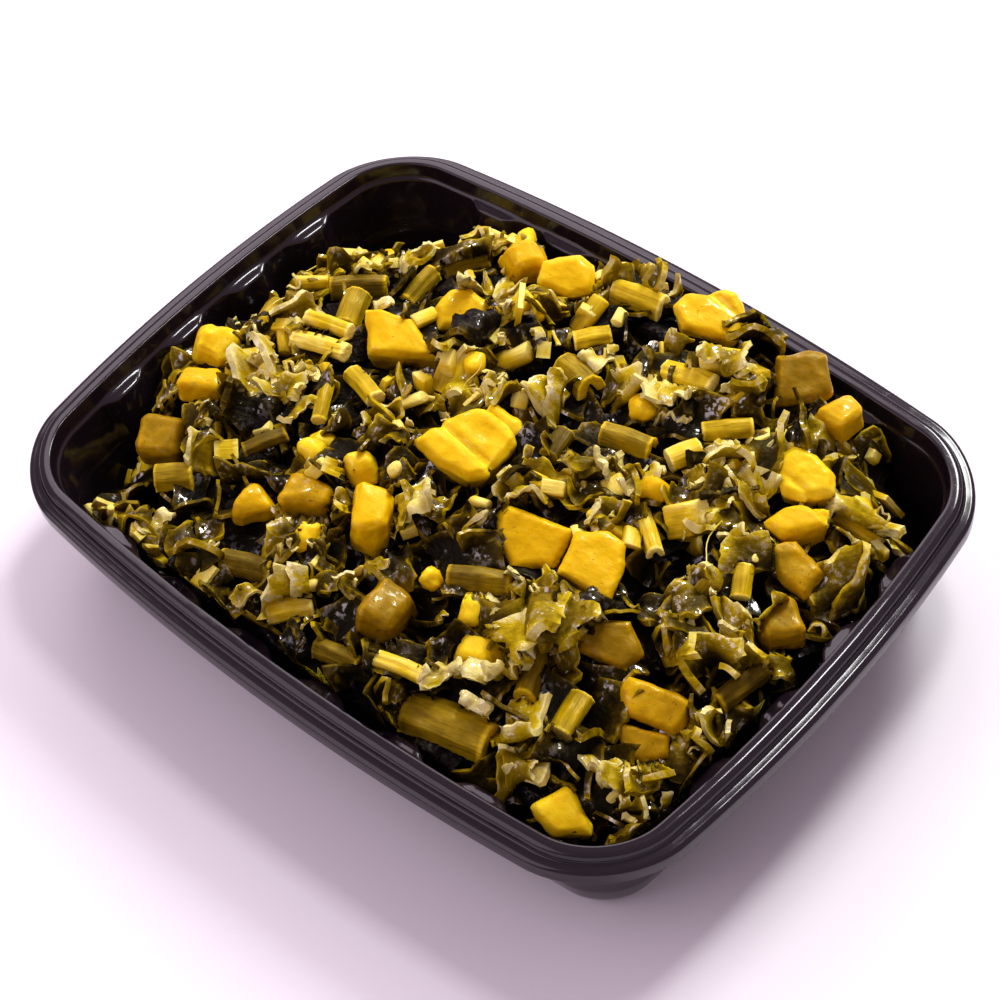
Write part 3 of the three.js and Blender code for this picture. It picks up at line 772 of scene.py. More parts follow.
@dataclass
class Tray:
    """Thin moulded tray with a flat foot, fluted wall, ledge, raised flange and skirted lip.

    The section runs up the outside from the foot, over the lip and down the inside. The food stays
    inside the line that the food insets give at the food heights.
    """

    length: float = 222.0
    width: float = 169.2
    corner_radius: float = 25.0
    smallest_corner: float = 12.0
    long_side_bow: float = 7.6
    short_side_bow: float = 7.05
    corner_steps: int = 22
    flute_pitch: float = 26.0
    long_side_reach: float = 78.0
    short_side_reach: float = 52.0
    samples_per_flute: int = 14
    flute_sharpness: float = 1.5
    rounding_steps: int = 4
    floor_height: float = 1.8
    food_heights: tuple[float, ...] = (1.0, 4.5, 11.5, 33.2, 60.0)
    food_insets: tuple[float, ...] = (18.4, 14.4, 13.1, 12.3, 11.5)
    section: tuple[SectionStep, ...] = (
        SectionStep(16.5, 0.0, 0.0, 1.0),
        SectionStep(12.5, 4.5, 0.0, 2.4),
        SectionStep(10.6, 11.5, 1.2, 0.8),
        SectionStep(10.0, 17.2, 1.6, 0.5),
        SectionStep(9.7, 17.8, 1.7, 0.5),
        SectionStep(8.4, 32.1, 2.7, 0.5),
        SectionStep(7.2, 32.6, 0.0, 0.5),
        SectionStep(6.6, 37.1, 0.0, 0.5),
        SectionStep(4.9, 37.1, 0.0, 0.4),
        SectionStep(4.1, 34.7, 0.0, 0.5),
        SectionStep(0.9, 34.7, 0.0, 0.4),
        SectionStep(0.9, 31.2, 0.0, 0.1),
        SectionStep(0.0, 31.2, 0.0, 0.3),
        SectionStep(0.0, 35.1, 0.0, 0.4),
        SectionStep(1.1, 35.6, 0.0, 0.4),
        SectionStep(3.3, 35.6, 0.0, 0.7),
        SectionStep(4.0, 37.6, 0.0, 0.4),
        SectionStep(5.3, 38.0, 0.0, 0.4),
        SectionStep(7.0, 38.0, 0.0, 0.3),
        SectionStep(7.6, 37.8, 0.0, 0.4),
        SectionStep(8.3, 33.7, 0.0, 0.7),
        SectionStep(9.3, 33.0, 2.7, 0.5),
        SectionStep(10.7, 18.3, 1.8, 0.6),
        SectionStep(11.0, 17.4, 1.6, 0.6),
        SectionStep(11.5, 11.5, 1.2, 1.0),
        SectionStep(13.4, 4.5, 0.0, 3.0),
        SectionStep(17.4, 1.0, 0.0, 2.0),
    )

    def bowed(self, points: np.ndarray) -> np.ndarray:
        """Bows the sides of a plain rounded rectangle.

        Args:
            points: rows of x, y in millimetres.

        Returns:
            The bowed rows.
        """
        x, y = points[:, 0], points[:, 1]
        bow_x = 1 - (2 * self.short_side_bow / self.length) * (2 * y / self.width) ** 2
        bow_y = 1 - (2 * self.long_side_bow / self.width) * (2 * x / self.length) ** 2
        return np.column_stack([x * bow_x, y * bow_y])

    def unbowed(self, points: np.ndarray) -> np.ndarray:
        """Undoes the bow by repeated correction.

        Args:
            points: bowed rows of x, y in millimetres.

        Returns:
            The plain rows.
        """
        rounds = 4
        plain = points.copy()
        for _ in range(rounds):
            plain += points - self.bowed(plain)
        return plain

    def flute_share(self, along: float, reach: float) -> float:
        """Finds how deep a flute is at a place along a side.

        Args:
            along: the distance from the side's middle.
            reach: where the flutes end on either hand.

        Returns:
            The share of the full depth.
        """
        if abs(along) >= reach:
            return 0.0
        wave = 0.5 - 0.5 * math.cos(2 * math.pi * along / self.flute_pitch)
        return rise(0.5 + (wave - 0.5) * self.flute_sharpness, 0.0, 1.0)

    def outline(self, inset: float, flute: float = 0.0) -> np.ndarray:
        """Lays the tray's outline.

        Args:
            inset: how far inside the outer edge it runs, in millimetres.
            flute: how far the flutes stand in, in millimetres.

        Returns:
            Rows of x, y in millimetres, counter-clockwise.
        """
        half_length = self.length / 2 - inset
        half_width = self.width / 2 - inset
        radius = max(self.corner_radius - inset, self.smallest_corner)
        long_share = (half_length - radius) / (self.length / 2 - self.corner_radius)
        short_share = (half_width - radius) / (self.width / 2 - self.corner_radius)
        points: list[tuple[float, float]] = []

        def corner(sign_x: int, sign_y: int, start: float) -> None:
            """Adds one rounded corner, on the sides that the signs give, from a start angle."""
            for step in range(self.corner_steps + 1):
                angle = start + step / self.corner_steps * math.pi / 2
                x = sign_x * (half_length - radius) + radius * math.cos(angle)
                y = sign_y * (half_width - radius) + radius * math.sin(angle)
                points.append((x, y))

        def side(reach: float, place: Callable[[float, float], tuple[float, float]]) -> None:
            """Adds one fluted side, with each point placed by its distance along and its depth."""
            count = round(2 * reach / self.flute_pitch * self.samples_per_flute)
            for step in range(count + 1):
                along = -reach + step * self.flute_pitch / self.samples_per_flute
                points.append(place(along, flute * self.flute_share(along, reach)))

        side(self.short_side_reach, lambda a, d: (half_length - d, a * short_share))
        corner(1, 1, 0.0)
        side(self.long_side_reach, lambda a, d: (-a * long_share, half_width - d))
        corner(-1, 1, math.pi / 2)
        side(self.short_side_reach, lambda a, d: (d - half_length, -a * short_share))
        corner(-1, -1, math.pi)
        side(self.long_side_reach, lambda a, d: (a * long_share, d - half_width))
        corner(1, -1, 1.5 * math.pi)
        return self.bowed(np.array(points))

    def rounded_section(self) -> list[SectionStep]:
        """Rounds the section's corners with short curves.

        Returns:
            All the steps in order.
        """
        most_of_side = 0.45
        steps = [self.section[0]]
        for before, here, after in zip(self.section, self.section[1:], self.section[2:]):
            corners = [np.array([s.inset, s.height, s.flute]) for s in (before, here, after)]
            arrive, leave = corners[1] - corners[0], corners[2] - corners[1]
            reach = [min(here.rounding, most_of_side * np.linalg.norm(way[:2])) for way in (arrive, leave)]
            start = corners[1] - arrive * reach[0] / np.linalg.norm(arrive[:2])
            end = corners[1] + leave * reach[1] / np.linalg.norm(leave[:2])
            for step in range(self.rounding_steps + 1):
                share = step / self.rounding_steps
                point = (1 - share) ** 2 * start + 2 * share * (1 - share) * corners[1] + share ** 2 * end
                steps.append(SectionStep(*point))
        return [*steps, self.section[-1]]

    def build(self) -> bpy.types.Object:
        """Lofts the tray's shell through its section.

        Returns:
            The shell.
        """
        rings = []
        for step in self.rounded_section():
            flat = self.outline(step.inset, step.flute)
            rings.append(np.column_stack([flat, np.full(len(flat), step.height)]))
        shell = loft("tray_shell", rings)
        Bench.smooth(shell, 35.0)
        return shell

    def depth_inside(self, points: np.ndarray, inset: np.ndarray) -> tuple[np.ndarray, np.ndarray]:
        """Measures how far points lie outside a line set in from the tray's edge.

        Args:
            points: rows of x, y in millimetres.
            inset: the line's inset for each row.

        Returns:
            The distance outside the line, negative inside, and the unit direction outwards.
        """
        plain = self.unbowed(points)
        tiny = 1e-6
        radius = np.maximum(self.corner_radius - inset, self.smallest_corner)
        half = np.column_stack([self.length / 2 - inset - radius, self.width / 2 - inset - radius])
        beyond = np.abs(plain) - half
        outer = np.maximum(beyond, 0)
        away = np.linalg.norm(outer, axis=1)
        distance = away + np.minimum(beyond.max(axis=1), 0) - radius
        side = np.eye(2)[beyond.argmax(axis=1)]
        way = np.where(away[:, None] > tiny, outer / np.maximum(away, tiny)[:, None], side)
        return distance, way * np.sign(plain + 0.001 * tiny)

    def pressed_inside(self, points: np.ndarray) -> np.ndarray:
        """Moves points that would pass through the tray's wall or floor back inside it.

        Args:
            points: rows of x, y, z in metres.

        Returns:
            The moved rows.
        """
        mm = points / MM
        mm[:, 2] = np.maximum(mm[:, 2], self.floor_height)
        inset = np.interp(mm[:, 2], self.food_heights, self.food_insets)
        distance, way = self.depth_inside(mm[:, :2], inset)
        mm[:, :2] -= way * np.maximum(distance, 0)[:, None]
        return mm * MM


# Heap of food


@dataclass(frozen=True)
class Hollow:
    """A low place in the heap's surface, or a high one where its depth is negative, in millimetres."""

    x: float
    y: float
    depth: float
    reach_x: float
    reach_y: float

    def nearness(self, x: float, y: float) -> float:
        """Gives 1 in the hollow's middle, falling to 0 far outside its reaches."""
        return math.exp(-(((x - self.x) / self.reach_x) ** 2 + ((y - self.y) / self.reach_y) ** 2))


@dataclass(frozen=True)
class Ruffle:
    """Uneven height from smooth noise, of a height and a wavelength in millimetres."""

    height: float
    length: float
    layer: float

    def at(self, x: float, y: float) -> float:
        """Gives the height over a place in millimetres."""
        return self.height * noise.noise(Vector((x / self.length, y / self.length, self.layer)))


def near_side(x: float, y: float, near: Pair, right: Pair) -> float:
    """Tells how far a place lies on the side near the camera.

    Args:
        x: the place's x in millimetres.
        y: the place's y in millimetres.
        near: where the share starts and is full, counted towards -Y.
        right: the same, counted towards +X.

    Returns:
        A share from 0 to 1.
    """
    return max(rise(-y, *near), rise(x, *right) * rise(-y, -6.0, 10.0))


@dataclass
class HeapSurface:
    """Height of the heap over the tray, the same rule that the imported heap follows.

    Loose pieces lie on an uneven version of it, which is lower in the dark hollows and at the tray's
    left and right ends, and raised along the near side.
    """

    crest: float = 48.0
    fall: float = 15.0
    fall_limit: float = 1.4
    lowest: float = 12.5
    half_length: float = 98.0
    half_width: float = 72.0
    roll_height: float = 1.6
    roll_lengths: Pair = (11.0, 9.0)
    roll_starts: Pair = (0.6, -0.4)
    corner_hollows: tuple[Hollow, ...] = (
        Hollow(-88, 62, 22, 25, 22),
        Hollow(-96, -50, 18, 16, 16),
        Hollow(90, 64, 24, 15, 14),
    )
    far_bank: Hollow = Hollow(28, 62, -13, 42, 20)
    dark_hollows: tuple[Hollow, ...] = (
        Hollow(-48, -62, 8, 13, 10), Hollow(-52, -47, 6, 9, 9), Hollow(-46, -33, 6, 14, 8),
        Hollow(-78, -41, 5, 6, 7), Hollow(-87, -60, 8, 13, 14), Hollow(-69, -73, 6, 10, 6),
        Hollow(-67, -59, 7, 11, 9), Hollow(-72, 17, 6, 8, 8), Hollow(-64, 35, 5, 6, 5),
        Hollow(-27, 26, 6, 9, 8), Hollow(-8, 24, 7, 11, 9), Hollow(-4, -45, 4, 6, 6),
        Hollow(12, 47, 5, 7, 6), Hollow(0, -16, 4, 6, 5), Hollow(14, 13, 8, 13, 10),
        Hollow(13, -33, 7, 9, 8), Hollow(19, -47, 8, 10, 9), Hollow(21, -72, 4, 7, 5),
        Hollow(59, -8, 7, 8, 7), Hollow(61, 3, 4, 5, 7), Hollow(61, -38, 7, 7, 8), Hollow(72, -45, 6, 9, 8),
        Hollow(74, -24, 4, 6, 6), Hollow(63, -71, 4, 9, 6), Hollow(82, 9, 4, 6, 6), Hollow(97, 32, 5, 7, 9),
        Hollow(90, -64, 5, 8, 7), Hollow(-99, 8, 8, 14, 13), Hollow(-99, 28, 8, 14, 12),
        Hollow(-90, 48, 8, 13, 11), Hollow(-77, 62, 8, 13, 10), Hollow(-62, 73, 6, 13, 8),
    )
    crowding: Ruffle = Ruffle(1.0, 10.0, 4.7)
    ruffles: tuple[Ruffle, ...] = (Ruffle(3.0, 13.0, 9.1), Ruffle(2.4, 4.2, 2.3))
    gap_depth: float = 6.0
    left_drop: float = 7.0
    right_drop: float = 3.5
    near_lift: float = 4.0

    def height(self, x: float, y: float) -> float:
        """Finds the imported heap's height.

        Args:
            x: the place's x in millimetres.
            y: the place's y in millimetres.

        Returns:
            The height in millimetres.
        """
        reach = abs(x / self.half_length) ** 3 + abs(y / self.half_width) ** 3
        height = self.crest - self.fall * min(reach, self.fall_limit)
        for hollow in (*self.corner_hollows, self.far_bank):
            height -= hollow.depth * hollow.nearness(x, y)
        along = math.sin(x / self.roll_lengths[0] + self.roll_starts[0])
        across = math.cos(y / self.roll_lengths[1] + self.roll_starts[1])
        return max(height + self.roll_height * along * across, self.lowest)

    def openness(self, x: float, y: float) -> float:
        """Gives how open the heap is at a place: 0 where pieces crowd, 1 in a dark gap."""
        named = max(hollow.nearness(x, y) for hollow in self.dark_hollows)
        return max(0.6 * rise(-self.crowding.at(x, y), 0.15, 0.45), rise(named, 0.2, 0.75))

    def loose_height(self, x: float, y: float) -> float:
        """Finds the height on which loose pieces lie.

        Args:
            x: the place's x in millimetres.
            y: the place's y in millimetres.

        Returns:
            The height in millimetres.
        """
        height = self.height(x, y) - self.gap_depth * self.openness(x, y)
        for ruffle in self.ruffles:
            height += ruffle.at(x, y)
        left = self.left_drop * rise(-x, 82.0, 98.0)
        right = self.right_drop * rise(x, 84.0, 98.0) * rise(y, -12.0, 8.0)
        near = self.near_lift * near_side(x, y, (54.0, 68.0), (82.0, 94.0))
        return height - left - right + near


@dataclass
class Relief:
    """The loose surface's heights on a fine grid over the tray, in millimetres."""

    surface: HeapSurface
    half_length: int = 116
    half_width: int = 90
    slope_step: float = 3.0

    def __post_init__(self) -> None:
        """Reads the surface at every whole millimetre."""
        across = range(-self.half_width, self.half_width + 1)
        along = range(-self.half_length, self.half_length + 1)
        self.heights = np.array([[self.surface.loose_height(x, y) for y in across] for x in along])

    def at(self, places: np.ndarray) -> np.ndarray:
        """Reads heights between the grid's points.

        Args:
            places: rows of x and y in millimetres.

        Returns:
            The height over each row.
        """
        margin = 0.001
        column = np.clip(places[:, 0] + self.half_length, 0, 2 * self.half_length - margin)
        row = np.clip(places[:, 1] + self.half_width, 0, 2 * self.half_width - margin)
        i, j = column.astype(int), row.astype(int)
        s, t = column - i, row - j
        low = self.heights[i, j] * (1 - s) + self.heights[i + 1, j] * s
        high = self.heights[i, j + 1] * (1 - s) + self.heights[i + 1, j + 1] * s
        return low * (1 - t) + high * t

    def normal(self, x: float, y: float) -> Vector:
        """Finds which way the surface faces.

        Args:
            x: the place's x in millimetres.
            y: the place's y in millimetres.

        Returns:
            The unit direction upwards, square to the surface.
        """
        step = self.slope_step
        around = np.array([[x + step, y], [x - step, y], [x, y + step], [x, y - step]])
        right, left, far, near = self.at(around)
        return Vector(((left - right) / (2 * step), (near - far) / (2 * step), 1.0)).normalized()


@dataclass
class LeafBed:
    """Dense mass of leaves under the loose pieces, almost black: partly the leaves' own dark colour, partly
    painted shade in the gaps between them.
    """

    tray: Tray
    surface: HeapSurface
    depth: float = 8.5
    lowest: float = 6.0
    rings: int = 44
    thinning: int = 3
    wall_rings: tuple[Pair, ...] = ((18.6, 1.6), (14.8, 5.0))
    edge_inset: float = 13.2
    bunching: float = 0.8
    lumps: tuple[Pair, ...] = ((9.0, 3.2), (3.0, 0.9))
    # Almost black: the leaves' own dark colour and painted shade for the gaps.
    tone: float = 0.02

    def build(self) -> bpy.types.Object:
        """Lofts the bed up the tray's wall and over to its middle, then crumples it.

        Returns:
            The bed.
        """
        rings = [self._wall_ring(inset, height) for inset, height in self.wall_rings]
        edge = self.tray.outline(self.edge_inset)[::self.thinning]
        for step in range(self.rings):
            scale = math.cos(0.5 * math.pi * step / self.rings) ** self.bunching
            rings.append(self._top_ring(edge * scale))
        bed = loft("callaloo_leaf_bed", rings)
        Bench.edit(bed, bpy.ops.mesh.quads_convert_to_tris)
        Bench.roughen(bed, self.lumps, depth=3, middle=0.6)
        points = self.tray.pressed_inside(Bench.points(bed))
        Bench.set_points(bed, points)
        Bench.mark_look(bed, Bench.points(bed), self.tone, np.zeros(len(points)))
        Bench.smooth(bed, 60.0)
        return bed

    def _wall_ring(self, inset: float, height: float) -> np.ndarray:
        """Lays one ring against the tray's wall."""
        flat = self.tray.outline(inset)[::self.thinning]
        return np.column_stack([flat, np.full(len(flat), height)])

    def _top_ring(self, flat: np.ndarray) -> np.ndarray:
        """Lays one ring on the heap's surface, sunk by the bed's depth."""
        heights = [self.surface.loose_height(x, y) - self.depth for x, y in flat]
        return np.column_stack([flat, np.maximum(heights, self.lowest)])


@dataclass
class Outline:
    """Outline of one large piece from above, in millimetres."""

    middle: Vector
    reach: float
    edges: list[tuple[Vector, Vector]]

    @classmethod
    def around(cls, node: bpy.types.Object) -> "Outline":
        """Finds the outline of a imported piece.

        Args:
            node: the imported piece.

        Returns:
            The outline, with each edge's start and its direction outwards.
        """
        flat = [(node.matrix_world @ vertex.co).xy / MM for vertex in node.data.vertices]
        corners = [flat[number] for number in geometry.convex_hull_2d(flat)]
        middle = sum(corners, Vector((0, 0))) / len(corners)
        edges = []
        for before, corner in zip([corners[-1], *corners[:-1]], corners):
            along = (corner - before).normalized()
            outwards = Vector((along.y, -along.x))
            if outwards.dot(middle - before) > 0:
                outwards = -outwards
            edges.append((before, outwards))
        reach = max((corner - middle).length for corner in corners)
        return cls(middle, reach, edges)

    def distance(self, place: Vector) -> float:
        """Measures how far a place lies outside the outline.

        Args:
            place: the place in millimetres.

        Returns:
            The distance, less than nothing inside. Far off, it is only a lower bound.
        """
        far_off = 12.0
        far = (place - self.middle).length - self.reach
        if far > far_off:
            return far
        return max(outwards.dot(place - start) for start, outwards in self.edges)


@dataclass
class KeptClear:
    """The large chunks and stalk pieces, which small pieces keep off.

    Seen from the photograph's camera, a small piece hides little of them. Where it hides more than a
    tip would, that part of it is laid under the large piece's surface. Lengths are in millimetres.
    """

    towards_camera: tuple[float, float, float] = (0.468, -0.415, 0.780)
    hidden_behind: Vector = field(default_factory=lambda: Vector((-2.2, 2.0)))
    sight: float = 25.0
    laid_under: float = 2.5
    tip_share: float = 0.07
    most_hiding: float = 0.25
    outlines: list[Outline] = field(default_factory=list)

    def __post_init__(self) -> None:
        """Reads the chunks and stalk pieces from the frame."""
        corners, faces = [], []
        for name in sorted(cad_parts):
            if name.startswith(("squash_chunk", "stalk_piece")):
                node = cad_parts[name]
                self.outlines.append(Outline.around(node))
                first = len(corners)
                corners += [node.matrix_world @ vertex.co for vertex in node.data.vertices]
                faces += [[first + number for number in face.vertices] for face in node.data.polygons]
        self.solids = BVHTree.FromPolygons(corners, faces)

    def covers(self, x: float, y: float, margin: float) -> bool:
        """Tells whether a place, or what it hides, is less than a margin outside a large piece.

        Args:
            x: the place's x in millimetres.
            y: the place's y in millimetres.
            margin: the margin in millimetres.

        Returns:
            True where a small piece would cover a large one.
        """
        places = (Vector((x, y)), Vector((x, y)) + self.hidden_behind)
        return any(outline.distance(place) < margin for outline in self.outlines for place in places)

    def lay_under(self, piece: bpy.types.Object) -> bool:
        """Lays the part of a small piece that hides large ones under their surface.

        Args:
            piece: the small piece.

        Returns:
            Whether that part is small enough for the piece to stay.
        """
        points = Bench.points(piece)
        way = Vector(self.towards_camera)
        depths = np.zeros(len(points))
        for number, point in enumerate(points):
            _, normal, _, distance = self.solids.ray_cast(Vector(point), -way, self.sight * MM)
            if normal is not None and normal.dot(way) > 0:
                depths[number] = distance + self.laid_under * MM
        share = np.count_nonzero(depths) / len(points)
        if share > self.tip_share:
            Bench.set_points(piece, points - depths[:, None] * np.array(self.towards_camera))
        return share <= self.most_hiding


def turned(spin: float, tilt: float, towards: float, normal: Vector) -> Matrix:
    """Builds a rotation that lays a piece on a slope.

    Args:
        spin: turn about the piece's own up axis, in radians.
        tilt: how far the piece leans, in radians.
        towards: the direction in which it leans, in radians.
        normal: the slope's direction upwards.

    Returns:
        The rotation.
    """
    lean = Matrix.Rotation(tilt, 4, Vector((math.cos(towards), math.sin(towards), 0.0)))
    slope = UP.rotation_difference(normal).to_matrix().to_4x4()
    return slope @ lean @ Matrix.Rotation(spin, 4, "Z")


@dataclass(frozen=True)
class Layer:
    """One layer of like pieces over the heap.

    Spacing, rise, size and margin are in millimetres, lean in degrees. The margin is how far a piece's
    middle stays outside the large pieces, and crowd says how likely a piece is at a place. Draped
    pieces follow the surface under them.
    """

    name: str
    slot: Slot
    spacing: float
    rise: Pair
    size: Pair
    tones: tuple[Tone, ...]
    lean: Pair
    margin: float
    seed: int
    fills_gaps: bool = False
    draped: bool = False
    crowd: Callable[[float, float], float] = lambda x, y: 1.0


@dataclass
class Scatter:
    """Lays copies of small modelled pieces over the heap by a seeded rule.

    Each piece's colour is painted paler for each millimetre above its own place and darker below it:
    painted light on its high parts and painted shade on its low parts.
    """

    tray: Tray
    surface: HeapSurface
    clear: KeptClear
    grid_halves: Pair = (90.0, 115.0)
    stagger: float = 0.25
    jitter: float = 0.85
    inset: float = 15.5
    near_spread: float = 3.5
    tone_spread: float = 0.08
    painted_light_per_mm: float = 0.07
    most_painted_shade: float = 0.22
    most_painted_light: float = 0.16
    most_sinking: float = 8.0

    def __post_init__(self) -> None:
        """Reads the surface's relief once."""
        self.relief = Relief(self.surface)

    def places(self, layer: Layer, draw: random.Random) -> list[Pair]:
        """Draws places on a jittered grid inside the tray.

        Args:
            layer: the layer, for its spacing.
            draw: random numbers for the jitter.

        Returns:
            The places' x and y in millimetres.
        """
        rows, columns = (int(half / layer.spacing) for half in self.grid_halves)
        found = []
        for row in range(-rows, rows + 1):
            for column in range(-columns, columns + 1):
                stagger = self.stagger if row % 2 == 0 else -self.stagger
                x = (column + stagger + self.jitter * (draw.random() - 0.5)) * layer.spacing
                y = (row + self.jitter * (draw.random() - 0.5)) * layer.spacing
                inset = self.inset - self.near_spread * near_side(x, y, (40.0, 60.0), (78.0, 90.0))
                outside, _ = self.tray.depth_inside(np.array([[x, y]]), np.array([inset]))
                if outside[0] < 0:
                    found.append((x, y))
        return found

    def place_copy(self, model: bpy.types.Object, at: Vector, turn: Matrix, scale: float,
                   tone: float, draw: random.Random) -> bpy.types.Object:
        """Copies a modelled piece to a place.

        Args:
            model: the piece to copy, modelled round the origin in metres.
            at: its place in millimetres.
            turn: its rotation.
            scale: its size against the model.
            tone: its place on the colour ramp.
            draw: random numbers for the pattern's shift.

        Returns:
            The copy.
        """
        made = Bench.copy(model, "copy")
        shift = np.array([draw.uniform(-1, 1) for _ in range(3)])
        Bench.mark(made, "grain", Bench.points(made) * scale + shift)
        made.data.transform(Matrix.Translation(at * MM) @ turn @ Matrix.Scale(scale, 4))
        # Painted light and shade: the tone rises where a vertex stands above the piece's place and falls
        # where it lies below.
        above = Bench.points(made)[:, 2] / MM - at.z
        Bench.mark(made, "tone", tone + np.clip(self.painted_light_per_mm * above, -self.most_painted_shade, self.most_painted_light))
        return made

    def drape(self, piece: bpy.types.Object, x: float, y: float) -> None:
        """Bends a placed piece down onto the surface round its own place.

        Args:
            piece: the piece.
            x: its place's x in millimetres.
            y: its place's y in millimetres.
        """
        points = Bench.points(piece)
        sinking = self.relief.at(points[:, :2] / MM) - self.relief.at(np.array([[x, y]]))[0]
        points[:, 2] += np.clip(sinking, -self.most_sinking, self.most_sinking) * MM
        Bench.set_points(piece, points)

    def lay(self, layer: Layer, models: Sequence[bpy.types.Object]) -> bpy.types.Object:
        """Lays one layer of copies of the models.

        Args:
            layer: the layer's values.
            models: pieces of MODEL_LENGTH to draw from.

        Returns:
            The joined layer.
        """
        draw = random.Random(layer.seed)
        copies = []
        for x, y in self.places(layer, draw):
            model = draw.choice(models)
            tone = draw.choice(layer.tones).value + draw.uniform(-self.tone_spread, self.tone_spread)
            scale = draw.uniform(*layer.size) / MODEL_LENGTH
            lift = draw.uniform(*layer.rise)
            normal = UP if layer.draped else self.relief.normal(x, y)
            turn = turned(draw.uniform(0, 2 * math.pi), math.radians(draw.uniform(*layer.lean)),
                          draw.uniform(0, 2 * math.pi), normal)
            chance = draw.random()
            open_share = 0.0 if layer.fills_gaps else self.surface.openness(x, y)
            if self.clear.covers(x, y, layer.margin):
                continue
            if chance > layer.crowd(x, y) * (1 - open_share):
                continue
            at = Vector((x, y, self.surface.loose_height(x, y) + lift))
            made = self.place_copy(model, at, turn, scale, tone, draw)
            if layer.draped:
                self.drape(made, x, y)
            if self.clear.lay_under(made):
                copies.append(made)
            else:
                Bench.remove([made])
        return self.gather(copies, layer.name)

    def gather(self, copies: Sequence[bpy.types.Object], name: str) -> bpy.types.Object:
        """Joins copies into one piece and keeps it inside the tray.

        Args:
            copies: the copies.
            name: the piece's name.

        Returns:
            The piece.
        """
        joined = Bench.join(copies, name)
        Bench.set_points(joined, self.tray.pressed_inside(Bench.points(joined)))
        return joined


@dataclass(frozen=True)
class SheetStyle:
    """How one kind of leaf sheet is cut, folded and ruffled, for a sheet of MODEL_LENGTH."""

    columns: int
    rows: int
    breadth: Pair
    folds: int
    fold_degrees: Pair
    curl_degrees: Pair
    ruffle_height: float
    ruffle_length: float
    thickness: float


class Sheet(Enum):
    """Kinds of cooked leaf pieces."""

    COARSE = SheetStyle(8, 6, (0.55, 0.95), 1, (30, 90), (30, 110), 0.9, 2.6, 0.5)
    FOLDED = SheetStyle(13, 9, (0.5, 0.95), 2, (40, 120), (0, 40), 1.1, 2.6, 0.85)
    FRILLED = SheetStyle(16, 9, (0.4, 0.75), 1, (20, 80), (20, 90), 2.4, 1.9, 0.75)
    CRUMB = SheetStyle(7, 4, (0.4, 0.8), 1, (30, 110), (40, 150), 1.6, 2.6, 1.0)


@dataclass(frozen=True)
class Crease:
    """A fold across a sheet: where it runs, how slanted it is and how far it turns."""

    at: float
    slant: float
    turn: float
    width: float

    def share(self, along: float, across: float) -> float:
        """Gives the share of the fold's turn that is reached at a place on the sheet."""
        middle = self.at + self.slant * across
        return rise(along, middle - self.width, middle + self.width)


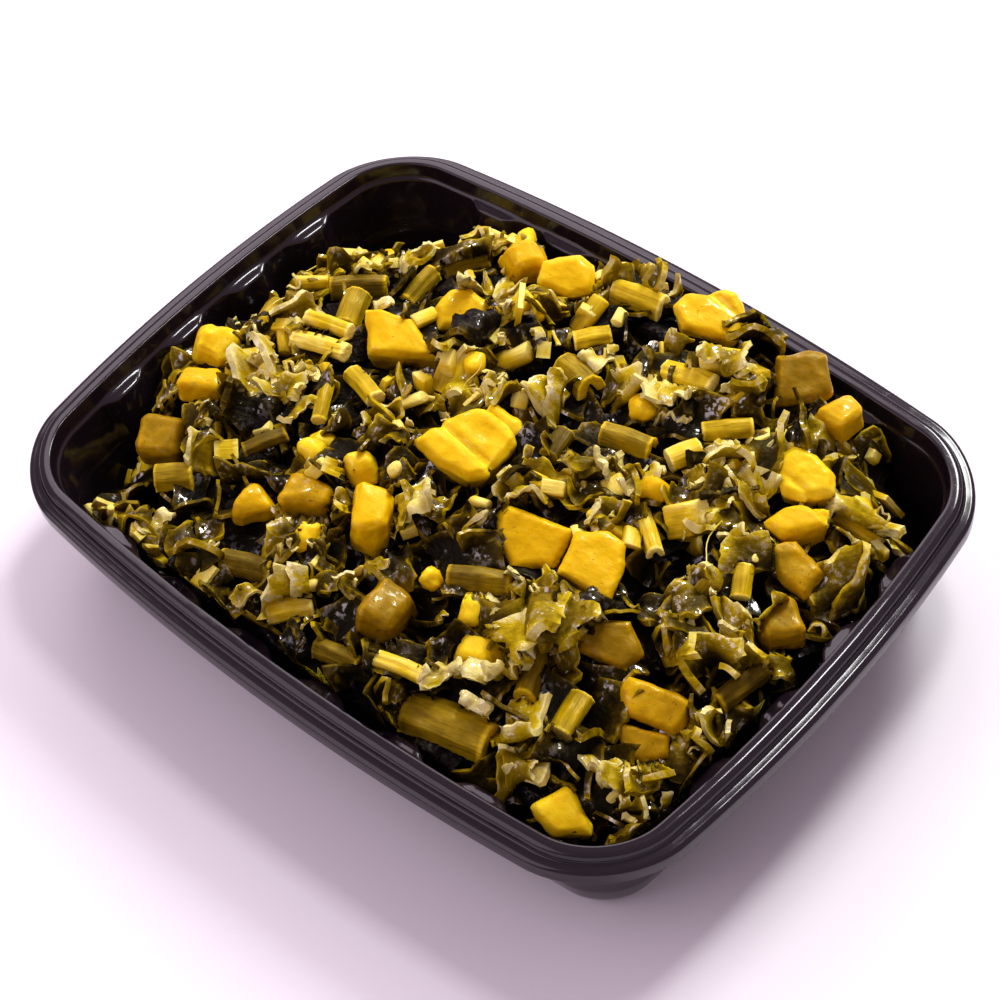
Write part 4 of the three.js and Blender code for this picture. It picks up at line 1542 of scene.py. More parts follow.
@dataclass
class LeafModels:
    """Chopped and folded leaf sheets, modelled once each."""

    seed: int = 31
    walk_steps: int = 14
    half: float = MODEL_LENGTH / 2
    cross_bend: Pair = (10, 60)
    most_twist: float = 40
    strip_thickness: float = 0.75

    def build(self, kind: Sheet, count: int) -> list[bpy.types.Object]:
        """Models a number of different sheets of one kind."""
        return [self.sheet(kind, 100 * len(kind.name) + number) for number in range(count)]

    def sheet(self, kind: Sheet, number: int) -> bpy.types.Object:
        """Models one sheet, of MODEL_LENGTH before it is folded.

        Args:
            kind: the kind of leaf piece.
            number: which sheet, for its random draw.

        Returns:
            The sheet.
        """
        style = kind.value
        draw = random.Random(self.seed + number)
        breadth = draw.uniform(*style.breadth)
        curl = math.radians(draw.choice((-1, 1)) * draw.uniform(*style.curl_degrees))
        creases = [self._crease(style, draw) for _ in range(style.folds)]
        corners = [(u * draw.uniform(0.72, 1.08), v * draw.uniform(0.6, 1.08))
                   for u in (-1, 1) for v in (-1, 1)]
        leaf = Bench.begin(bpy.ops.mesh.primitive_grid_add, x_subdivisions=style.columns,
                           y_subdivisions=style.rows, size=2.0)
        flat = Bench.points(leaf)
        # The leaf finish paints the rim paler by this share, a painted highlight.
        Bench.mark(leaf, "edge", np.abs(flat[:, :2]).max(axis=1))
        shaped = []
        for u, v, _ in flat:
            a, b = self._cut(u, v, corners, number)
            x, z = self._walk(a, b, creases, curl)
            rim = max(abs(u), abs(v)) ** 2
            ruffle = style.ruffle_height * (0.35 + 0.65 * rim)
            y = self.half * breadth * b
            place = Vector((self.half * a, y, number * 5.7)) / style.ruffle_length
            sideways = 0.5 * ruffle * noise.noise(place + Vector((7, 3, 1)))
            shaped.append((self.half * x, y + sideways, self.half * z + ruffle * noise.noise(place)))
        Bench.set_points(leaf, np.array(shaped) * MM)
        cross = math.radians(draw.choice((-1, 1)) * draw.uniform(*self.cross_bend))
        Bench.modify(leaf, "SIMPLE_DEFORM", deform_method="BEND", deform_axis="X", angle=cross)
        twist = math.radians(draw.uniform(-self.most_twist, self.most_twist))
        Bench.modify(leaf, "SIMPLE_DEFORM", deform_method="TWIST", deform_axis="X", angle=twist)
        Bench.modify(leaf, "SOLIDIFY", thickness=style.thickness * MM, offset=0.0)
        Bench.face_outwards(leaf)
        Bench.smooth(leaf, 75.0)
        return leaf

    def ruffles(self, count: int) -> list[bpy.types.Object]:
        """Models a number of different frilly strips, from noise that is the same in each run."""
        noise.seed_set(self.seed)
        return [self._ruffle(number) for number in range(count)]

    def _ruffle(self, number: int) -> bpy.types.Object:
        """Models one frilly strip of MODEL_LENGTH, short inside and waving along its outer rim.

        Args:
            number: which strip, for its random draw.

        Returns:
            The strip.
        """
        draw = random.Random(self.seed + 500 + number)
        waves = draw.uniform(2.2, 4.2)
        arc = math.radians(draw.uniform(50, 190))
        breadth = draw.uniform(3.0, 5.5)
        height = draw.uniform(1.2, 2.4)
        phase = draw.uniform(0, 6.28)
        strip = Bench.begin(bpy.ops.mesh.primitive_grid_add, x_subdivisions=24, y_subdivisions=4, size=2.0)
        flat = Bench.points(strip)
        outer = (flat[:, 1] + 1) / 2
        # The leaf finish paints the outer rim paler by this share, a painted highlight.
        Bench.mark(strip, "edge", outer)
        shaped = []
        for (u, _, _), out in zip(flat, outer):
            wave = math.pi * waves * u + phase
            crumple = noise.noise_vector(Vector((2.2 * u, 2.2 * out, number * 3.9)))
            reach = 1.5 + out * breadth * (1 + 0.3 * crumple.x)
            angle = 0.5 * arc * u + 0.25 * out * math.cos(wave)
            x = reach * math.sin(angle) + 2.6 * u
            y = reach * math.cos(angle) - 3.0 + crumple.y
            z = height * out * math.sin(wave) + 1.2 * crumple.z
            shaped.append((x, y, z))
        Bench.set_points(strip, np.array(shaped) * MM)
        Bench.modify(strip, "SOLIDIFY", thickness=self.strip_thickness * MM, offset=0.0)
        Bench.face_outwards(strip)
        Bench.smooth(strip, 80.0)
        return strip

    @staticmethod
    def _crease(style: SheetStyle, draw: random.Random) -> Crease:
        """Draws one fold."""
        turn = math.radians(draw.choice((-1, 1)) * draw.uniform(*style.fold_degrees))
        return Crease(draw.uniform(-0.6, 0.6), draw.uniform(-0.5, 0.5), turn, draw.uniform(0.1, 0.3))

    @staticmethod
    def _cut(u: float, v: float, corners: Sequence[Pair], number: int) -> Pair:
        """Maps a square onto the sheet's four cut corners and makes its rim uneven.

        Args:
            u: the place along the square, from -1 to 1.
            v: the place across the square, from -1 to 1.
            corners: the cut corners.
            number: which sheet, for its own uneven rim.

        Returns:
            The place on the sheet, along and across.
        """
        shares = [(1 + i * u) * (1 + j * v) / 4 for i in (-1, 1) for j in (-1, 1)]
        a = sum(s * c[0] for s, c in zip(shares, corners))
        b = sum(s * c[1] for s, c in zip(shares, corners))
        rim = max(abs(u), abs(v)) ** 4
        torn = 0.2 * rim * noise.noise(Vector((2.6 * u, 2.6 * v, number * 7.3)))
        return a * (1 + torn), b * (1 + torn)

    def _walk(self, along: float, across: float, creases: Sequence[Crease], curl: float) -> Pair:
        """Walks from the sheet's middle along its folded surface.

        Args:
            along: how far to walk.
            across: the place across the sheet.
            creases: the sheet's folds.
            curl: how far the sheet curls over its half length, in radians.

        Returns:
            The distance and the height that are reached.
        """
        x = z = 0.0
        for step in range(self.walk_steps):
            here = along * (step + 0.5) / self.walk_steps
            angle = curl * here
            for crease in creases:
                angle += crease.turn * (crease.share(here, across) - crease.share(0.0, across))
            x += math.cos(angle) * along / self.walk_steps
            z += math.sin(angle) * along / self.walk_steps
        return x, z


@dataclass
class ChipModels:
    """Small bits of chopped stalk and squash, modelled once each, about as long as MODEL_LENGTH.

    Each takes its unevenness from another place in the same pattern, a pattern step further on.
    """

    seed: int = 77
    pattern_step: float = 0.03
    chip_lump: float = 3.0
    lump_lumps: tuple[Pair, ...] = ((5.0, 3.6), (2.0, 0.8))
    rod_bevel: float = 0.35

    def build(self) -> list[bpy.types.Object]:
        """Models wedges, rods and channels of stalk, and returns them in that order."""
        wedges = [self._wedge(number) for number in range(7)]
        rods = [self._rod(number) for number in range(6)]
        channels = [self._channel(number) for number in range(5)]
        return wedges + rods + channels

    def build_lumps(self, count: int) -> list[bpy.types.Object]:
        """Models small rounded lumps of squash."""
        return [self._lump(number) for number in range(count)]

    def _lump(self, number: int) -> bpy.types.Object:
        """Models one rounded, uneven lump.

        Args:
            number: which lump, for its random draw.

        Returns:
            The lump.
        """
        draw = random.Random(self.seed + 60 + number)
        lump = Bench.begin(bpy.ops.mesh.primitive_ico_sphere_add, subdivisions=3, radius=1.0)
        size = (MODEL_LENGTH / 2, draw.uniform(3.2, 4.6), draw.uniform(2.4, 4.0))
        lump.data.transform(Matrix.Diagonal((*(s * MM for s in size), 1.0)))
        self._roughen(lump, number, self.lump_lumps, 1)
        Bench.mark(lump, "edge", np.zeros(len(lump.data.vertices)))
        Bench.smooth(lump, 80.0)
        return lump

    def _roughen(self, piece: bpy.types.Object, number: int, lumps: Sequence[Pair], depth: int) -> None:
        """Makes a piece uneven in its own way.

        Args:
            piece: the piece.
            number: which piece, for its place in the pattern.
            lumps: the size and the height of each layer's lumps, in millimetres.
            depth: how many finer layers each layer has.
        """
        shift = Vector((number * self.pattern_step, 0, 0))
        piece.data.transform(Matrix.Translation(shift))
        Bench.roughen(piece, lumps, depth)
        piece.data.transform(Matrix.Translation(-shift))

    def _finish(self, chip: bpy.types.Object, number: int, height: float) -> bpy.types.Object:
        """Makes a chip a little uneven and marks its cut faces.

        Args:
            chip: the chip.
            number: which chip, for its place in the pattern.
            height: how high its lumps are, in millimetres.

        Returns:
            The chip.
        """
        self._roughen(chip, number, ((self.chip_lump, height),), 2)
        points = Bench.points(chip)
        share = np.abs(points[:, 0]) / np.abs(points[:, 0]).max()
        Bench.mark(chip, "edge", np.clip((share - 0.8) * 6, 0, 1))
        Bench.smooth(chip, 55.0)
        return chip

    def _wedge(self, number: int) -> bpy.types.Object:
        """Models one wedge-shaped die, its top drawn in and pushed along.

        Args:
            number: which die, for its random draw.

        Returns:
            The die.
        """
        draw = random.Random(self.seed + number)
        size = (MODEL_LENGTH, draw.uniform(4.5, 9.0), draw.uniform(3.5, 6.5))
        block = Bench.begin(bpy.ops.mesh.primitive_cube_add, size=1.0)
        block.data.transform(Matrix.Diagonal((*(s * MM for s in size), 1.0)))
        bpy.ops.object.mode_set(mode="EDIT")
        bpy.ops.mesh.select_all(action="DESELECT")
        shape = bmesh.from_edit_mesh(block.data)
        for face in shape.faces:
            face.select = face.normal.z > 0.9
        bmesh.update_edit_mesh(block.data)
        bpy.ops.transform.resize(value=(draw.uniform(0.4, 0.95), draw.uniform(0.6, 0.95), 1.0))
        bpy.ops.transform.translate(value=(draw.uniform(-2, 2) * MM, draw.uniform(-1, 1) * MM, 0))
        bpy.ops.mesh.select_all(action="SELECT")
        bpy.ops.mesh.bevel(offset=0.12 * min(size) * MM, segments=2, affect="EDGES")
        bpy.ops.object.mode_set(mode="OBJECT")
        return self._finish(block, number, 1.1)

    def _rod(self, number: int) -> bpy.types.Object:
        """Models one length of stalk with a grooved oval section and slanted cut ends.

        Args:
            number: which rod, for its random draw.

        Returns:
            The rod.
        """
        draw = random.Random(self.seed + 20 + number)
        rod = Bench.begin(bpy.ops.mesh.primitive_cylinder_add, vertices=12, radius=1.0, depth=2.0)
        points = Bench.points(rod)
        angle = np.arctan2(points[:, 1], points[:, 0])
        radius = 1 - draw.uniform(0.08, 0.2) * (0.5 + 0.5 * np.cos(3 * angle + draw.uniform(0, 6)))
        width, height = draw.uniform(1.8, 3.9), draw.uniform(1.4, 3.0)
        across, up = width * radius * np.cos(angle), height * radius * np.sin(angle)
        slant = np.where(points[:, 2] > 0, draw.uniform(-0.5, 0.5), draw.uniform(-0.5, 0.5))
        along = MODEL_LENGTH / 2 * np.sign(points[:, 2]) + slant * across
        Bench.set_points(rod, np.column_stack([along, across, up]) * MM)
        Bench.face_outwards(rod)
        Bench.modify(rod, "BEVEL", width=self.rod_bevel * MM, segments=1, limit_method="ANGLE")
        return self._finish(rod, number + 7, 0.7)

    def _channel(self, number: int) -> bpy.types.Object:
        """Models one split length of hollow stalk.

        Args:
            number: which channel, for its random draw.

        Returns:
            The channel.
        """
        draw = random.Random(self.seed + 40 + number)
        channel = Bench.begin(bpy.ops.mesh.primitive_grid_add, x_subdivisions=4, y_subdivisions=6, size=1.0)
        width = draw.uniform(5.0, 10.0)
        channel.data.transform(Matrix.Diagonal((MODEL_LENGTH * MM, width * MM, 1.0, 1.0)))
        Bench.modify(channel, "SIMPLE_DEFORM", deform_method="BEND", deform_axis="X",
                     angle=math.radians(draw.uniform(60, 210)))
        Bench.modify(channel, "SOLIDIFY", thickness=draw.uniform(0.9, 1.5) * MM, offset=0.0)
        Bench.face_outwards(channel)
        return self._finish(channel, number + 13, 0.5)


@dataclass
class FibreModels:
    """Fine pale strings of stalk, modelled once each, of MODEL_LENGTH."""

    seed: int = 55
    radius: float = 0.11
    most_sideways: float = 3
    most_lift: float = 2

    def build(self, count: int) -> list[bpy.types.Object]:
        """Models a number of different strings."""
        return [self._string(number) for number in range(count)]

    def _string(self, number: int) -> bpy.types.Object:
        """Models one bent string as a tube along a curve.

        Args:
            number: which string, for its random draw.

        Returns:
            The string.
        """
        draw = random.Random(self.seed + number)
        curve = Bench.begin(bpy.ops.curve.primitive_bezier_curve_add, radius=MODEL_LENGTH / 2 * MM).data
        for point in curve.splines[0].bezier_points:
            for handle in (point.handle_left, point.handle_right):
                handle.y += draw.uniform(-self.most_sideways, self.most_sideways) * MM
                handle.z += draw.uniform(-self.most_lift, self.most_lift) * MM
        curve.bevel_depth = self.radius * MM
        curve.bevel_resolution = 0
        curve.resolution_u = 8
        curve.use_fill_caps = True
        bpy.ops.object.convert(target="MESH")
        string = bpy.context.object
        Bench.face_outwards(string)
        Bench.mark(string, "edge", np.zeros(len(string.data.vertices)))
        Bench.smooth(string, 80.0)
        return string


@dataclass(frozen=True)
class Feature:
    """A leaf piece that the photograph shows clearly, placed one by one.

    Place, rise and length are in millimetres, yaw and lean in degrees. Some lie over a chunk.
    """

    kind: Sheet
    x: float
    y: float
    rise: float
    length: float
    yaw: float
    lean: float
    tone: Tone
    over: bool = False


FEATURES = (
    Feature(Sheet.FOLDED, 49, -33, 2.5, 30, 40, 15, Tone.OLIVE),
    Feature(Sheet.FOLDED, 37, -36, 2.5, 20, 60, 30, Tone.YELLOW_OLIVE),
    Feature(Sheet.FRILLED, 54, -23, 2.5, 18, 10, 20, Tone.DARK, over=True),
    Feature(Sheet.FRILLED, 45, -44, 3.0, 26, 30, 15, Tone.YELLOW_OLIVE),
    Feature(Sheet.FOLDED, -63, -17, 1.5, 20, 48, 8, Tone.YELLOW_OLIVE),
    Feature(Sheet.FRILLED, -52, -16, 1.5, 18, 20, 12, Tone.YELLOW_OLIVE),
    Feature(Sheet.FOLDED, -16, -44, 2.0, 24, 350, 30, Tone.OLIVE),
    Feature(Sheet.FRILLED, -56, -27, 0.5, 22, 20, 15, Tone.BLACK_GREEN),
    Feature(Sheet.FOLDED, 37, 70, 3.0, 16, 340, 15, Tone.DARK),
    Feature(Sheet.FOLDED, 88, 40, 3.0, 23, 20, 18, Tone.YELLOW_OLIVE),
    Feature(Sheet.FOLDED, 93, 24, 2.0, 22, 80, 45, Tone.OLIVE),
    Feature(Sheet.FRILLED, -27, 24, 3.5, 22, 35, 15, Tone.BLACK_GREEN, over=True),
    Feature(Sheet.FOLDED, -2, 62, 1.5, 18, 60, 12, Tone.OLIVE),
    Feature(Sheet.FOLDED, 2, 66, 2.5, 18, 30, 18, Tone.OLIVE),
    Feature(Sheet.FRILLED, 70, -5, 1.0, 20, 60, 30, Tone.OLIVE),
    Feature(Sheet.FOLDED, 89, 3, 2.0, 18, 90, 25, Tone.OLIVE),
    Feature(Sheet.FRILLED, 51, 32, 3.0, 14, 80, 20, Tone.PALE),
    Feature(Sheet.FOLDED, 6, 35, 2.5, 11, 80, 25, Tone.PALE),
    Feature(Sheet.FOLDED, 61, -56, 2.5, 20, 120, 30, Tone.YELLOW_OLIVE),
    Feature(Sheet.FOLDED, 72, -54, 2.5, 22, 100, 40, Tone.DARK),
    Feature(Sheet.FRILLED, 0, -28, 2.0, 17, 60, 20, Tone.GOLDEN),
    Feature(Sheet.FRILLED, 21, -7, 1.5, 17, 45, 12, Tone.YELLOW_OLIVE),
    Feature(Sheet.FRILLED, 42, 11, 2.5, 17, 70, 20, Tone.GOLDEN),
    Feature(Sheet.FOLDED, 46, 55, 2.5, 17, 30, 15, Tone.DARK),
    Feature(Sheet.FRILLED, 35, 53, 3.5, 16, 30, 20, Tone.YELLOW_OLIVE),
    Feature(Sheet.FOLDED, -41, -65, 2.0, 20, 60, 35, Tone.DARK),
    Feature(Sheet.FOLDED, 57, 38, 2.5, 20, 0, 30, Tone.OLIVE),
    Feature(Sheet.FOLDED, 81, -15, 2.5, 22, 60, 40, Tone.OLIVE),
    Feature(Sheet.FOLDED, 91, -38, 2.0, 19, 20, 25, Tone.OLIVE),
    Feature(Sheet.FOLDED, -52, 48, 2.5, 20, 40, 18, Tone.OLIVE),
    Feature(Sheet.FOLDED, -7, -60, 2.5, 20, 30, 35, Tone.YELLOW_OLIVE),
    Feature(Sheet.FOLDED, 75, 15, 2.5, 20, 50, 30, Tone.OLIVE),
    Feature(Sheet.FOLDED, -30, 13, 2.0, 18, 20, 30, Tone.OLIVE),
    Feature(Sheet.FRILLED, 30, 39, 2.0, 15, 50, 15, Tone.GOLDEN),
    Feature(Sheet.FRILLED, 46, -50, 3.0, 15, 20, 12, Tone.PALE, over=True),
    Feature(Sheet.FRILLED, 36, -57, 3.0, 14, 70, 12, Tone.GOLDEN, over=True),
    Feature(Sheet.FOLDED, 34, 67, 2.0, 19, 310, 20, Tone.DARK, over=True),
    Feature(Sheet.FRILLED, 49, -61, 2.0, 15, 100, 15, Tone.GOLDEN),
    Feature(Sheet.FOLDED, 92, -12, 1.5, 17, 80, 25, Tone.OLIVE),
    Feature(Sheet.FRILLED, 92, -26, 1.5, 15, 60, 20, Tone.YELLOW_OLIVE),
    Feature(Sheet.FRILLED, 86, -50, 1.5, 15, 20, 20, Tone.YELLOW_OLIVE),
)


@dataclass(frozen=True)
class ChunkLook:
    """How one chunk differs from a plain golden one.

    Lumps gives the height of its broad lumps, and grooves the place and depth of the furrows across
    it, in millimetres.
    """

    tone: float = 0.8
    lumps: float = 1.6
    grooves: tuple[tuple[float, float], ...] = ()


@dataclass
class SquashChunks:
    """Soft chunks of squash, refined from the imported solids."""

    voxel: float = 0.62
    smoothing: int = 4
    broad_lump: float = 8.0
    fine_lumps: Pair = (2.6, 0.4)
    pattern_step: float = 0.37
    groove_width: float = 1.3
    groove_bearing: float = 85.0
    # Each chunk's tone is its own colour, set lower for chunks that lie in shade, so the darker tones also
    # hold painted shade.
    looks: dict[int, ChunkLook] = field(default_factory=lambda: {
        1: ChunkLook(0.9, 3.6), 2: ChunkLook(0.8), 3: ChunkLook(0.84), 4: ChunkLook(0.68),
        5: ChunkLook(0.84), 6: ChunkLook(0.78, 1.4, ((3.0, 0.8),)), 7: ChunkLook(0.28, 1.2),
        8: ChunkLook(0.86, 2.0, ((-3.0, 1.1), (8.5, 1.9))), 9: ChunkLook(0.92, 1.2, ((-4.5, 0.8),)),
        10: ChunkLook(0.76, 1.2, ((5.0, 1.0),)), 11: ChunkLook(0.76, 0.9), 12: ChunkLook(0.76, 0.8),
        13: ChunkLook(0.36), 14: ChunkLook(0.9, 1.2), 15: ChunkLook(0.5, 1.2), 16: ChunkLook(0.47),
        17: ChunkLook(0.42), 18: ChunkLook(0.32, 1.2), 19: ChunkLook(0.8), 20: ChunkLook(0.9),
        21: ChunkLook(0.62), 22: ChunkLook(0.29), 23: ChunkLook(0.36), 24: ChunkLook(0.46),
        25: ChunkLook(0.76), 26: ChunkLook(0.62), 27: ChunkLook(0.95),
    })

    def build(self, finishes: Finishes) -> None:
        """Refines and dresses every chunk."""
        for number in sorted(self.looks):
            node = f"squash_chunk_{number:02d}"
            chunk = self.refined(node, number)
            finishes.dress(chunk, Slot.SQUASH, node)

    def refined(self, node: str, number: int) -> bpy.types.Object:
        """Copies a packed chunk and softens it.

        Args:
            node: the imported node's name.
            number: the chunk's number.

        Returns:
            The softened chunk.
        """
        look = self.looks[number]
        chunk = Bench.softened(node, f"soft_{node}", self.voxel, self.smoothing)
        Bench.press_in(chunk, self._groove_depths(Bench.points(chunk), look))
        Bench.roughen(chunk, ((self.broad_lump, look.lumps), self.fine_lumps), depth=1)
        grain = Bench.points(chunk) + number * self.pattern_step
        Bench.mark_look(chunk, grain, look.tone, self._edge_share(chunk))
        Bench.smooth(chunk, 80.0)
        return chunk

    def _groove_depths(self, points: np.ndarray, look: ChunkLook) -> np.ndarray:
        """Finds how deep a chunk's furrows are at its vertices.

        Args:
            points: the vertices, as rows in metres.
            look: the chunk's look, with each furrow's place along the bearing that crosses them.

        Returns:
            The depths in millimetres.
        """
        bearing = math.radians(self.groove_bearing)
        along = (points - points.mean(axis=0))[:, :2] @ (math.cos(bearing), math.sin(bearing)) / MM
        sunk = np.zeros(len(points))
        for at, depth in look.grooves:
            sunk += depth * np.exp(-((along - at) / self.groove_width) ** 2)
        return sunk

    @staticmethod
    def _edge_share(chunk: bpy.types.Object) -> np.ndarray:
        """Finds how sharply the surface turns.

        Args:
            chunk: the chunk.

        Returns:
            A share from 0 to 1 for each vertex.
        """
        normals = np.array([vertex.normal for vertex in chunk.data.vertices])
        ends = np.array([edge.vertices[:] for edge in chunk.data.edges])
        spread = 1 - np.sum(normals[ends[:, 0]] * normals[ends[:, 1]], axis=1)
        turn = np.zeros(len(normals))
        np.maximum.at(turn, ends[:, 0], spread)
        np.maximum.at(turn, ends[:, 1], spread)
        return np.clip(turn * 9 - 0.2, 0, 1)


@dataclass
class StalkPieces:
    """Large chopped stalk pieces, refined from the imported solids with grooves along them."""

    voxel: float = 0.42
    smoothing: int = 3
    grooves: int = 5
    groove_depth: float = 0.26
    cut_start: float = 0.93
    cut_sharpness: float = 12
    pattern_step: float = 0.41
    # Each piece's tone is its own colour, set lower for pieces that lie in shade, so the darker tones also
    # hold painted shade.
    tones: tuple[float, ...] = (
        0.52, 0.88, 0.82, 0.66, 0.34, 0.58, 0.8, 0.5, 0.82, 0.36, 0.66, 0.5, 0.62, 0.74, 0.66,
        0.8, 0.26, 0.48, 0.5, 0.6, 0.74, 0.4, 0.84, 0.46, 0.34, 0.26, 0.3, 0.58, 0.38, 0.68,
    )

    def build(self, finishes: Finishes) -> None:
        """Refines and dresses every stalk piece."""
        for number, tone in enumerate(self.tones, start=1):
            node = f"stalk_piece_{number:02d}"
            piece = self.refined(node, number, tone)
            finishes.dress(piece, Slot.STALK, node)

    def refined(self, node: str, number: int, tone: float) -> bpy.types.Object:
        """Copies a packed stalk piece, softens it and cuts grooves along it.

        Args:
            node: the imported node's name.
            number: the piece's number.
            tone: its place on the colour ramp.

        Returns:
            The grooved piece.
        """
        piece = Bench.softened(node, f"fibrous_{node}", self.voxel, self.smoothing)
        points = Bench.points(piece)
        middle = points.mean(axis=0)
        _, _, axes = np.linalg.svd(points - middle, full_matrices=False)
        local = (points - middle) @ axes.T
        share = np.abs(local[:, 0]) / np.abs(local[:, 0]).max()
        side = np.clip((self.cut_start - share) * self.cut_sharpness, 0, 1)
        angle = np.arctan2(local[:, 2], local[:, 1])
        wave = 0.5 + 0.5 * np.cos(self.grooves * angle + number)
        Bench.press_in(piece, wave * side * self.groove_depth)
        Bench.mark_look(piece, local + number * self.pattern_step, tone, 1 - side)
        Bench.smooth(piece, 70.0)
        return piece


# Camera and studio


@dataclass(frozen=True)
class Viewpoint:
    """The photograph's camera, fitted to the tray's rim. Its bearing is counter-clockwise from +X."""

    bearing: float = -41.59
    elevation: float = 51.28
    roll: float = -9.17
    distance: float = 579.3
    target: tuple[float, float, float] = (6.04, -2.87, 30.0)
    lens: float = 81.8
    sensor_width: float = 36.0
    clip_start: float = 0.01

    def build(self) -> None:
        """Makes the camera."""
        data = bpy.data.cameras.new("camera")
        data.lens = self.lens
        data.sensor_width = self.sensor_width
        data.clip_start = self.clip_start
        camera = bpy.data.objects.new("camera", data)
        bpy.context.scene.collection.objects.link(camera)
        back = direction(self.bearing, self.elevation)
        camera.rotation_mode = "QUATERNION"
        camera.rotation_quaternion = (back.to_track_quat("Z", "Y")
                                      @ Euler((0, 0, math.radians(self.roll))).to_quaternion())
        camera.location = (Vector(self.target) + back * self.distance) * MM
        bpy.context.scene.camera = camera


@dataclass(frozen=True)
class SoftBox:
    """One soft square light, aimed at the tray.

    Bearing and elevation are in degrees, distance and size in metres and power in watts.
    """

    name: str
    bearing: float
    elevation: float
    distance: float
    size: float
    power: float
    colour: Colour = (1.0, 1.0, 1.0)

    def build(self) -> None:
        """Makes the light."""
        data = bpy.data.lights.new(self.name, "AREA")
        data.size = self.size
        data.energy = self.power
        data.color = self.colour
        light = bpy.data.objects.new(self.name, data)
        way = direction(self.bearing, self.elevation)
        light.rotation_mode = "QUATERNION"
        light.rotation_quaternion = way.to_track_quat("Z", "Y")
        light.location = way * self.distance
        bpy.context.scene.collection.objects.link(light)


@dataclass
class Studio:
    """Plain pale floor, plain soft lights and a pale surround."""

    floor_size: float = 6.0
    boxes: tuple[SoftBox, ...] = (
        SoftBox("key", 95.0, 42.0, 1.1, 0.33, 6.8, (0.97, 1.0, 0.97)),
        SoftBox("overhead", 96.0, 65.0, 1.3, 0.2, 3.2),
        SoftBox("back", 140.0, 37.0, 1.4, 0.85, 5.0, (1.0, 0.9, 0.97)),
        SoftBox("fill", 235.0, 48.0, 1.6, 1.3, 6.5, (1.0, 0.86, 0.97)),
    )
    surround: Colour = (1.0, 0.83, 0.96)
    surround_strength: float = 0.4

    def build(self) -> None:
        """Makes the floor, the lights, the surround and the plain view of colours."""
        floor = Bench.begin(bpy.ops.mesh.primitive_plane_add, size=self.floor_size)
        floor.name = "floor"
        floor.data.materials.append(PlainFloor().material())
        floor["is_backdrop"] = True
        for box in self.boxes:
            box.build()
        world = bpy.data.worlds.new("surround")
        world.use_nodes = True
        sky = world.node_tree.nodes["Background"]
        sky.inputs["Color"].default_value = (*self.surround, 1.0)
        sky.inputs["Strength"].default_value = self.surround_strength
        bpy.context.scene.world = world
        bpy.context.scene.view_settings.view_transform = "Standard"
        bpy.context.scene.view_settings.look = "Medium High Contrast"


# All the food together


def chip_crowd(x: float, y: float) -> float:
    """Gives how likely stalk chips are at a place: most to the left, fewest at the near right."""
    return min(max(0.5 - 0.0042 * x + 0.003 * y, 0.12), 0.95)


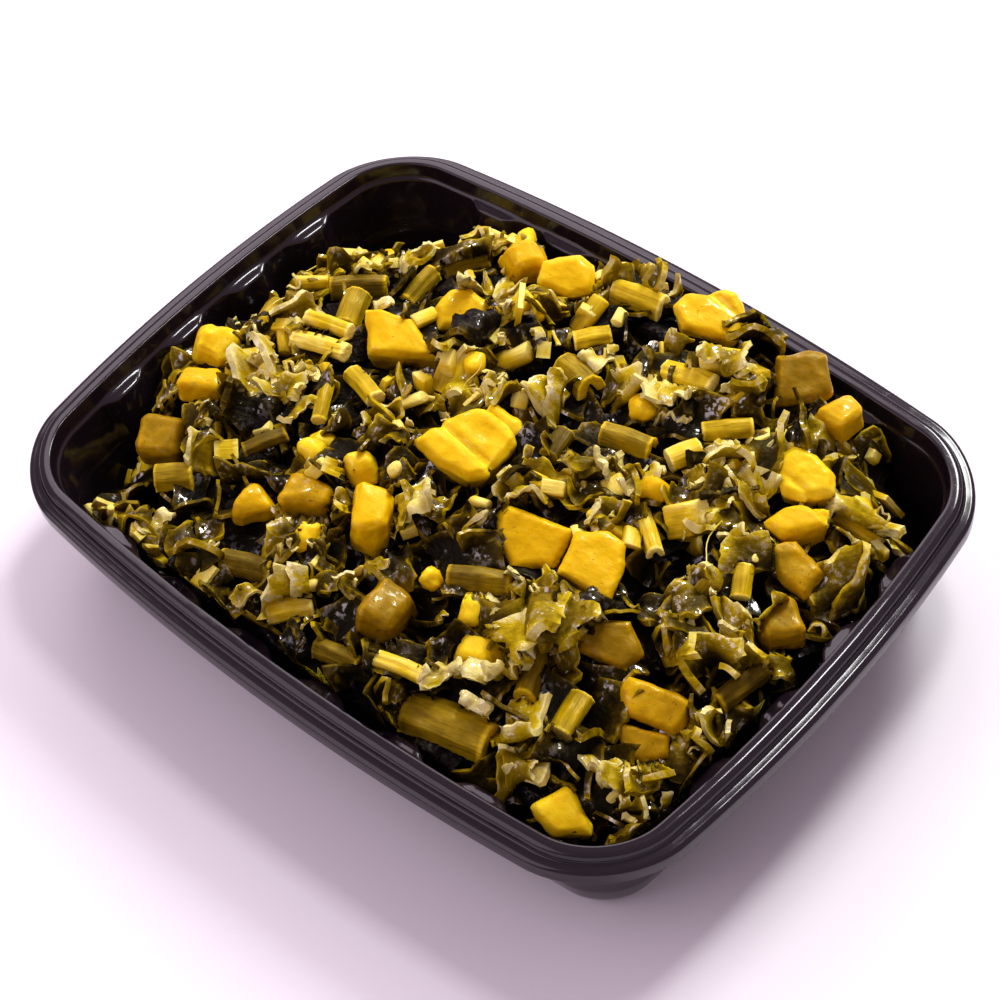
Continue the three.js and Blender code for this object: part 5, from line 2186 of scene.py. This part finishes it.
@dataclass
class TrayOfFood:
    """The food in the tray: the bed, the loose layers over it, the chunks and the stalk pieces."""

    finishes: Finishes
    tray: Tray
    leaves: LeafModels = field(default_factory=LeafModels)
    feature_seed: int = 9
    feature_models: int = 900

    def __post_init__(self) -> None:
        """Reads the heap's surface and the large pieces once."""
        self.surface = HeapSurface()
        self.scatter = Scatter(self.tray, self.surface, KeptClear())

    def build(self) -> None:
        """Builds and dresses all the food."""
        bed = LeafBed(self.tray, self.surface).build()
        self.finishes.dress(bed, Slot.LEAF, "callaloo_leaf_heap")
        sets = self._models()
        for name, layer in self._layers():
            self.finishes.dress(self.scatter.lay(layer, sets[name]), layer.slot)
        self.finishes.dress(self._features(), Slot.LEAF)
        for models in sets.values():
            Bench.remove(models)
        SquashChunks().build(self.finishes)
        StalkPieces().build(self.finishes)

    def _models(self) -> dict[str, list[bpy.types.Object]]:
        """Models the small pieces that the layers copy.

        Returns:
            Sets of models by name.
        """
        chips = ChipModels()
        return {
            "coarse": self.leaves.build(Sheet.COARSE, 12),
            "folded": self.leaves.build(Sheet.FOLDED, 16),
            "frilled": self.leaves.build(Sheet.FRILLED, 6) + self.leaves.ruffles(8),
            "crumbs": self.leaves.build(Sheet.CRUMB, 6),
            "chips": chips.build(),
            "lumps": chips.build_lumps(6),
            "fibres": FibreModels().build(6),
        }

    @staticmethod
    def _layers() -> tuple[tuple[str, Layer], ...]:
        """Lists the layers from the bottom up.

        Returns:
            The name of each layer's set of models, and the layer.
        """
        black_and_shade, dark, olive = Tone.BLACK_GREEN, Tone.DARK, Tone.OLIVE
        bright, golden, pale = Tone.YELLOW_OLIVE, Tone.GOLDEN, Tone.PALE
        return (
            # The lowest sheets are almost black: partly the leaves' own dark colour, partly painted shade
            # that fills the gaps between pieces.
            ("coarse", Layer("leaf_sheets_low", Slot.LEAF, spacing=9.5, rise=(-5.5, -3.0), size=(15, 23),
                             tones=(black_and_shade, black_and_shade, dark), lean=(0, 15), margin=-2.0, seed=11,
                             fills_gaps=True)),
            ("folded", Layer("leaf_sheets_middle", Slot.LEAF, spacing=8.5, rise=(-2.5, 0.0), size=(10, 18),
                             tones=(dark, dark, olive, bright), lean=(0, 35), margin=1.0, seed=12,
                             draped=True)),
            ("folded", Layer("leaf_sheets_top", Slot.LEAF, spacing=10.5, rise=(0.0, 1.8), size=(9, 17),
                             tones=(dark, olive, olive, bright), lean=(0, 40), margin=2.5, seed=13,
                             draped=True)),
            ("frilled", Layer("leaf_frills", Slot.LEAF, spacing=12.5, rise=(-0.5, 1.5), size=(9, 15),
                              tones=(olive, bright, golden), lean=(0, 40), margin=2.5, seed=14,
                              draped=True)),
            ("crumbs", Layer("leaf_crumbs", Slot.LEAF, spacing=12.0, rise=(0.5, 2.5), size=(3, 7),
                             tones=(bright, golden, pale), lean=(0, 90), margin=1.5, seed=15)),
            ("chips", Layer("stalk_chips_large", Slot.STALK, spacing=9.5, rise=(-2.5, 0.3), size=(7, 12),
                            tones=(olive, bright, bright, golden), lean=(0, 60), margin=2.0, seed=21,
                            crowd=chip_crowd)),
            ("chips", Layer("stalk_chips_small", Slot.STALK, spacing=8.0, rise=(-1.0, 1.5), size=(4, 7.5),
                            tones=(bright, golden, golden), lean=(0, 90), margin=1.2, seed=22,
                            crowd=chip_crowd)),
            ("fibres", Layer("stalk_fibres", Slot.STALK, spacing=33.0, rise=(0.5, 3.0), size=(9, 18),
                             tones=(pale, golden), lean=(0, 25), margin=3.0, seed=31)),
            ("lumps", Layer("squash_lumps_small", Slot.SQUASH, spacing=17.0, rise=(-2.0, 0.5), size=(6, 11),
                            tones=(bright, golden, golden), lean=(0, 60), margin=2.0, seed=41,
                            crowd=chip_crowd)),
        )

    def _features(self) -> bpy.types.Object:
        """Models and lays the leaf pieces that are placed one by one.

        Returns:
            The joined pieces.
        """
        draw = random.Random(self.feature_seed)
        copies = []
        for number, feature in enumerate(FEATURES):
            leaf = self.leaves.sheet(feature.kind, self.feature_models + number)
            normal = self.scatter.relief.normal(feature.x, feature.y)
            yaw, lean = math.radians(feature.yaw), math.radians(feature.lean)
            turn = turned(yaw, lean, draw.uniform(0, 6.28), normal)
            at = Vector((feature.x, feature.y, self.surface.height(feature.x, feature.y) + feature.rise))
            scale = feature.length / MODEL_LENGTH
            copies.append(self.scatter.place_copy(leaf, at, turn, scale, feature.tone.value, draw))
            if not feature.over:
                self.scatter.clear.lay_under(copies[-1])
            Bench.remove([leaf])
        return self.scatter.gather(copies, "leaf_feature_pieces")


def write_sizes() -> None:
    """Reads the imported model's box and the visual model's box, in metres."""
    boxes = {"cad": CAD_BOX, "visual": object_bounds()}
    plain = {name: [list(corner) for corner in box] for name, box in boxes.items()}


def main() -> None:
    """Builds the studio, the tray and the food."""
    logging.basicConfig(level=logging.INFO, format="%(name)s: %(message)s")
    Viewpoint().build()
    Studio().build()
    finishes = Finishes()
    tray = Tray()
    finishes.dress(tray.build(), Slot.TRAY, "tray")
    TrayOfFood(finishes, tray).build()
    write_sizes()


if __name__ == "__main__":
    main()
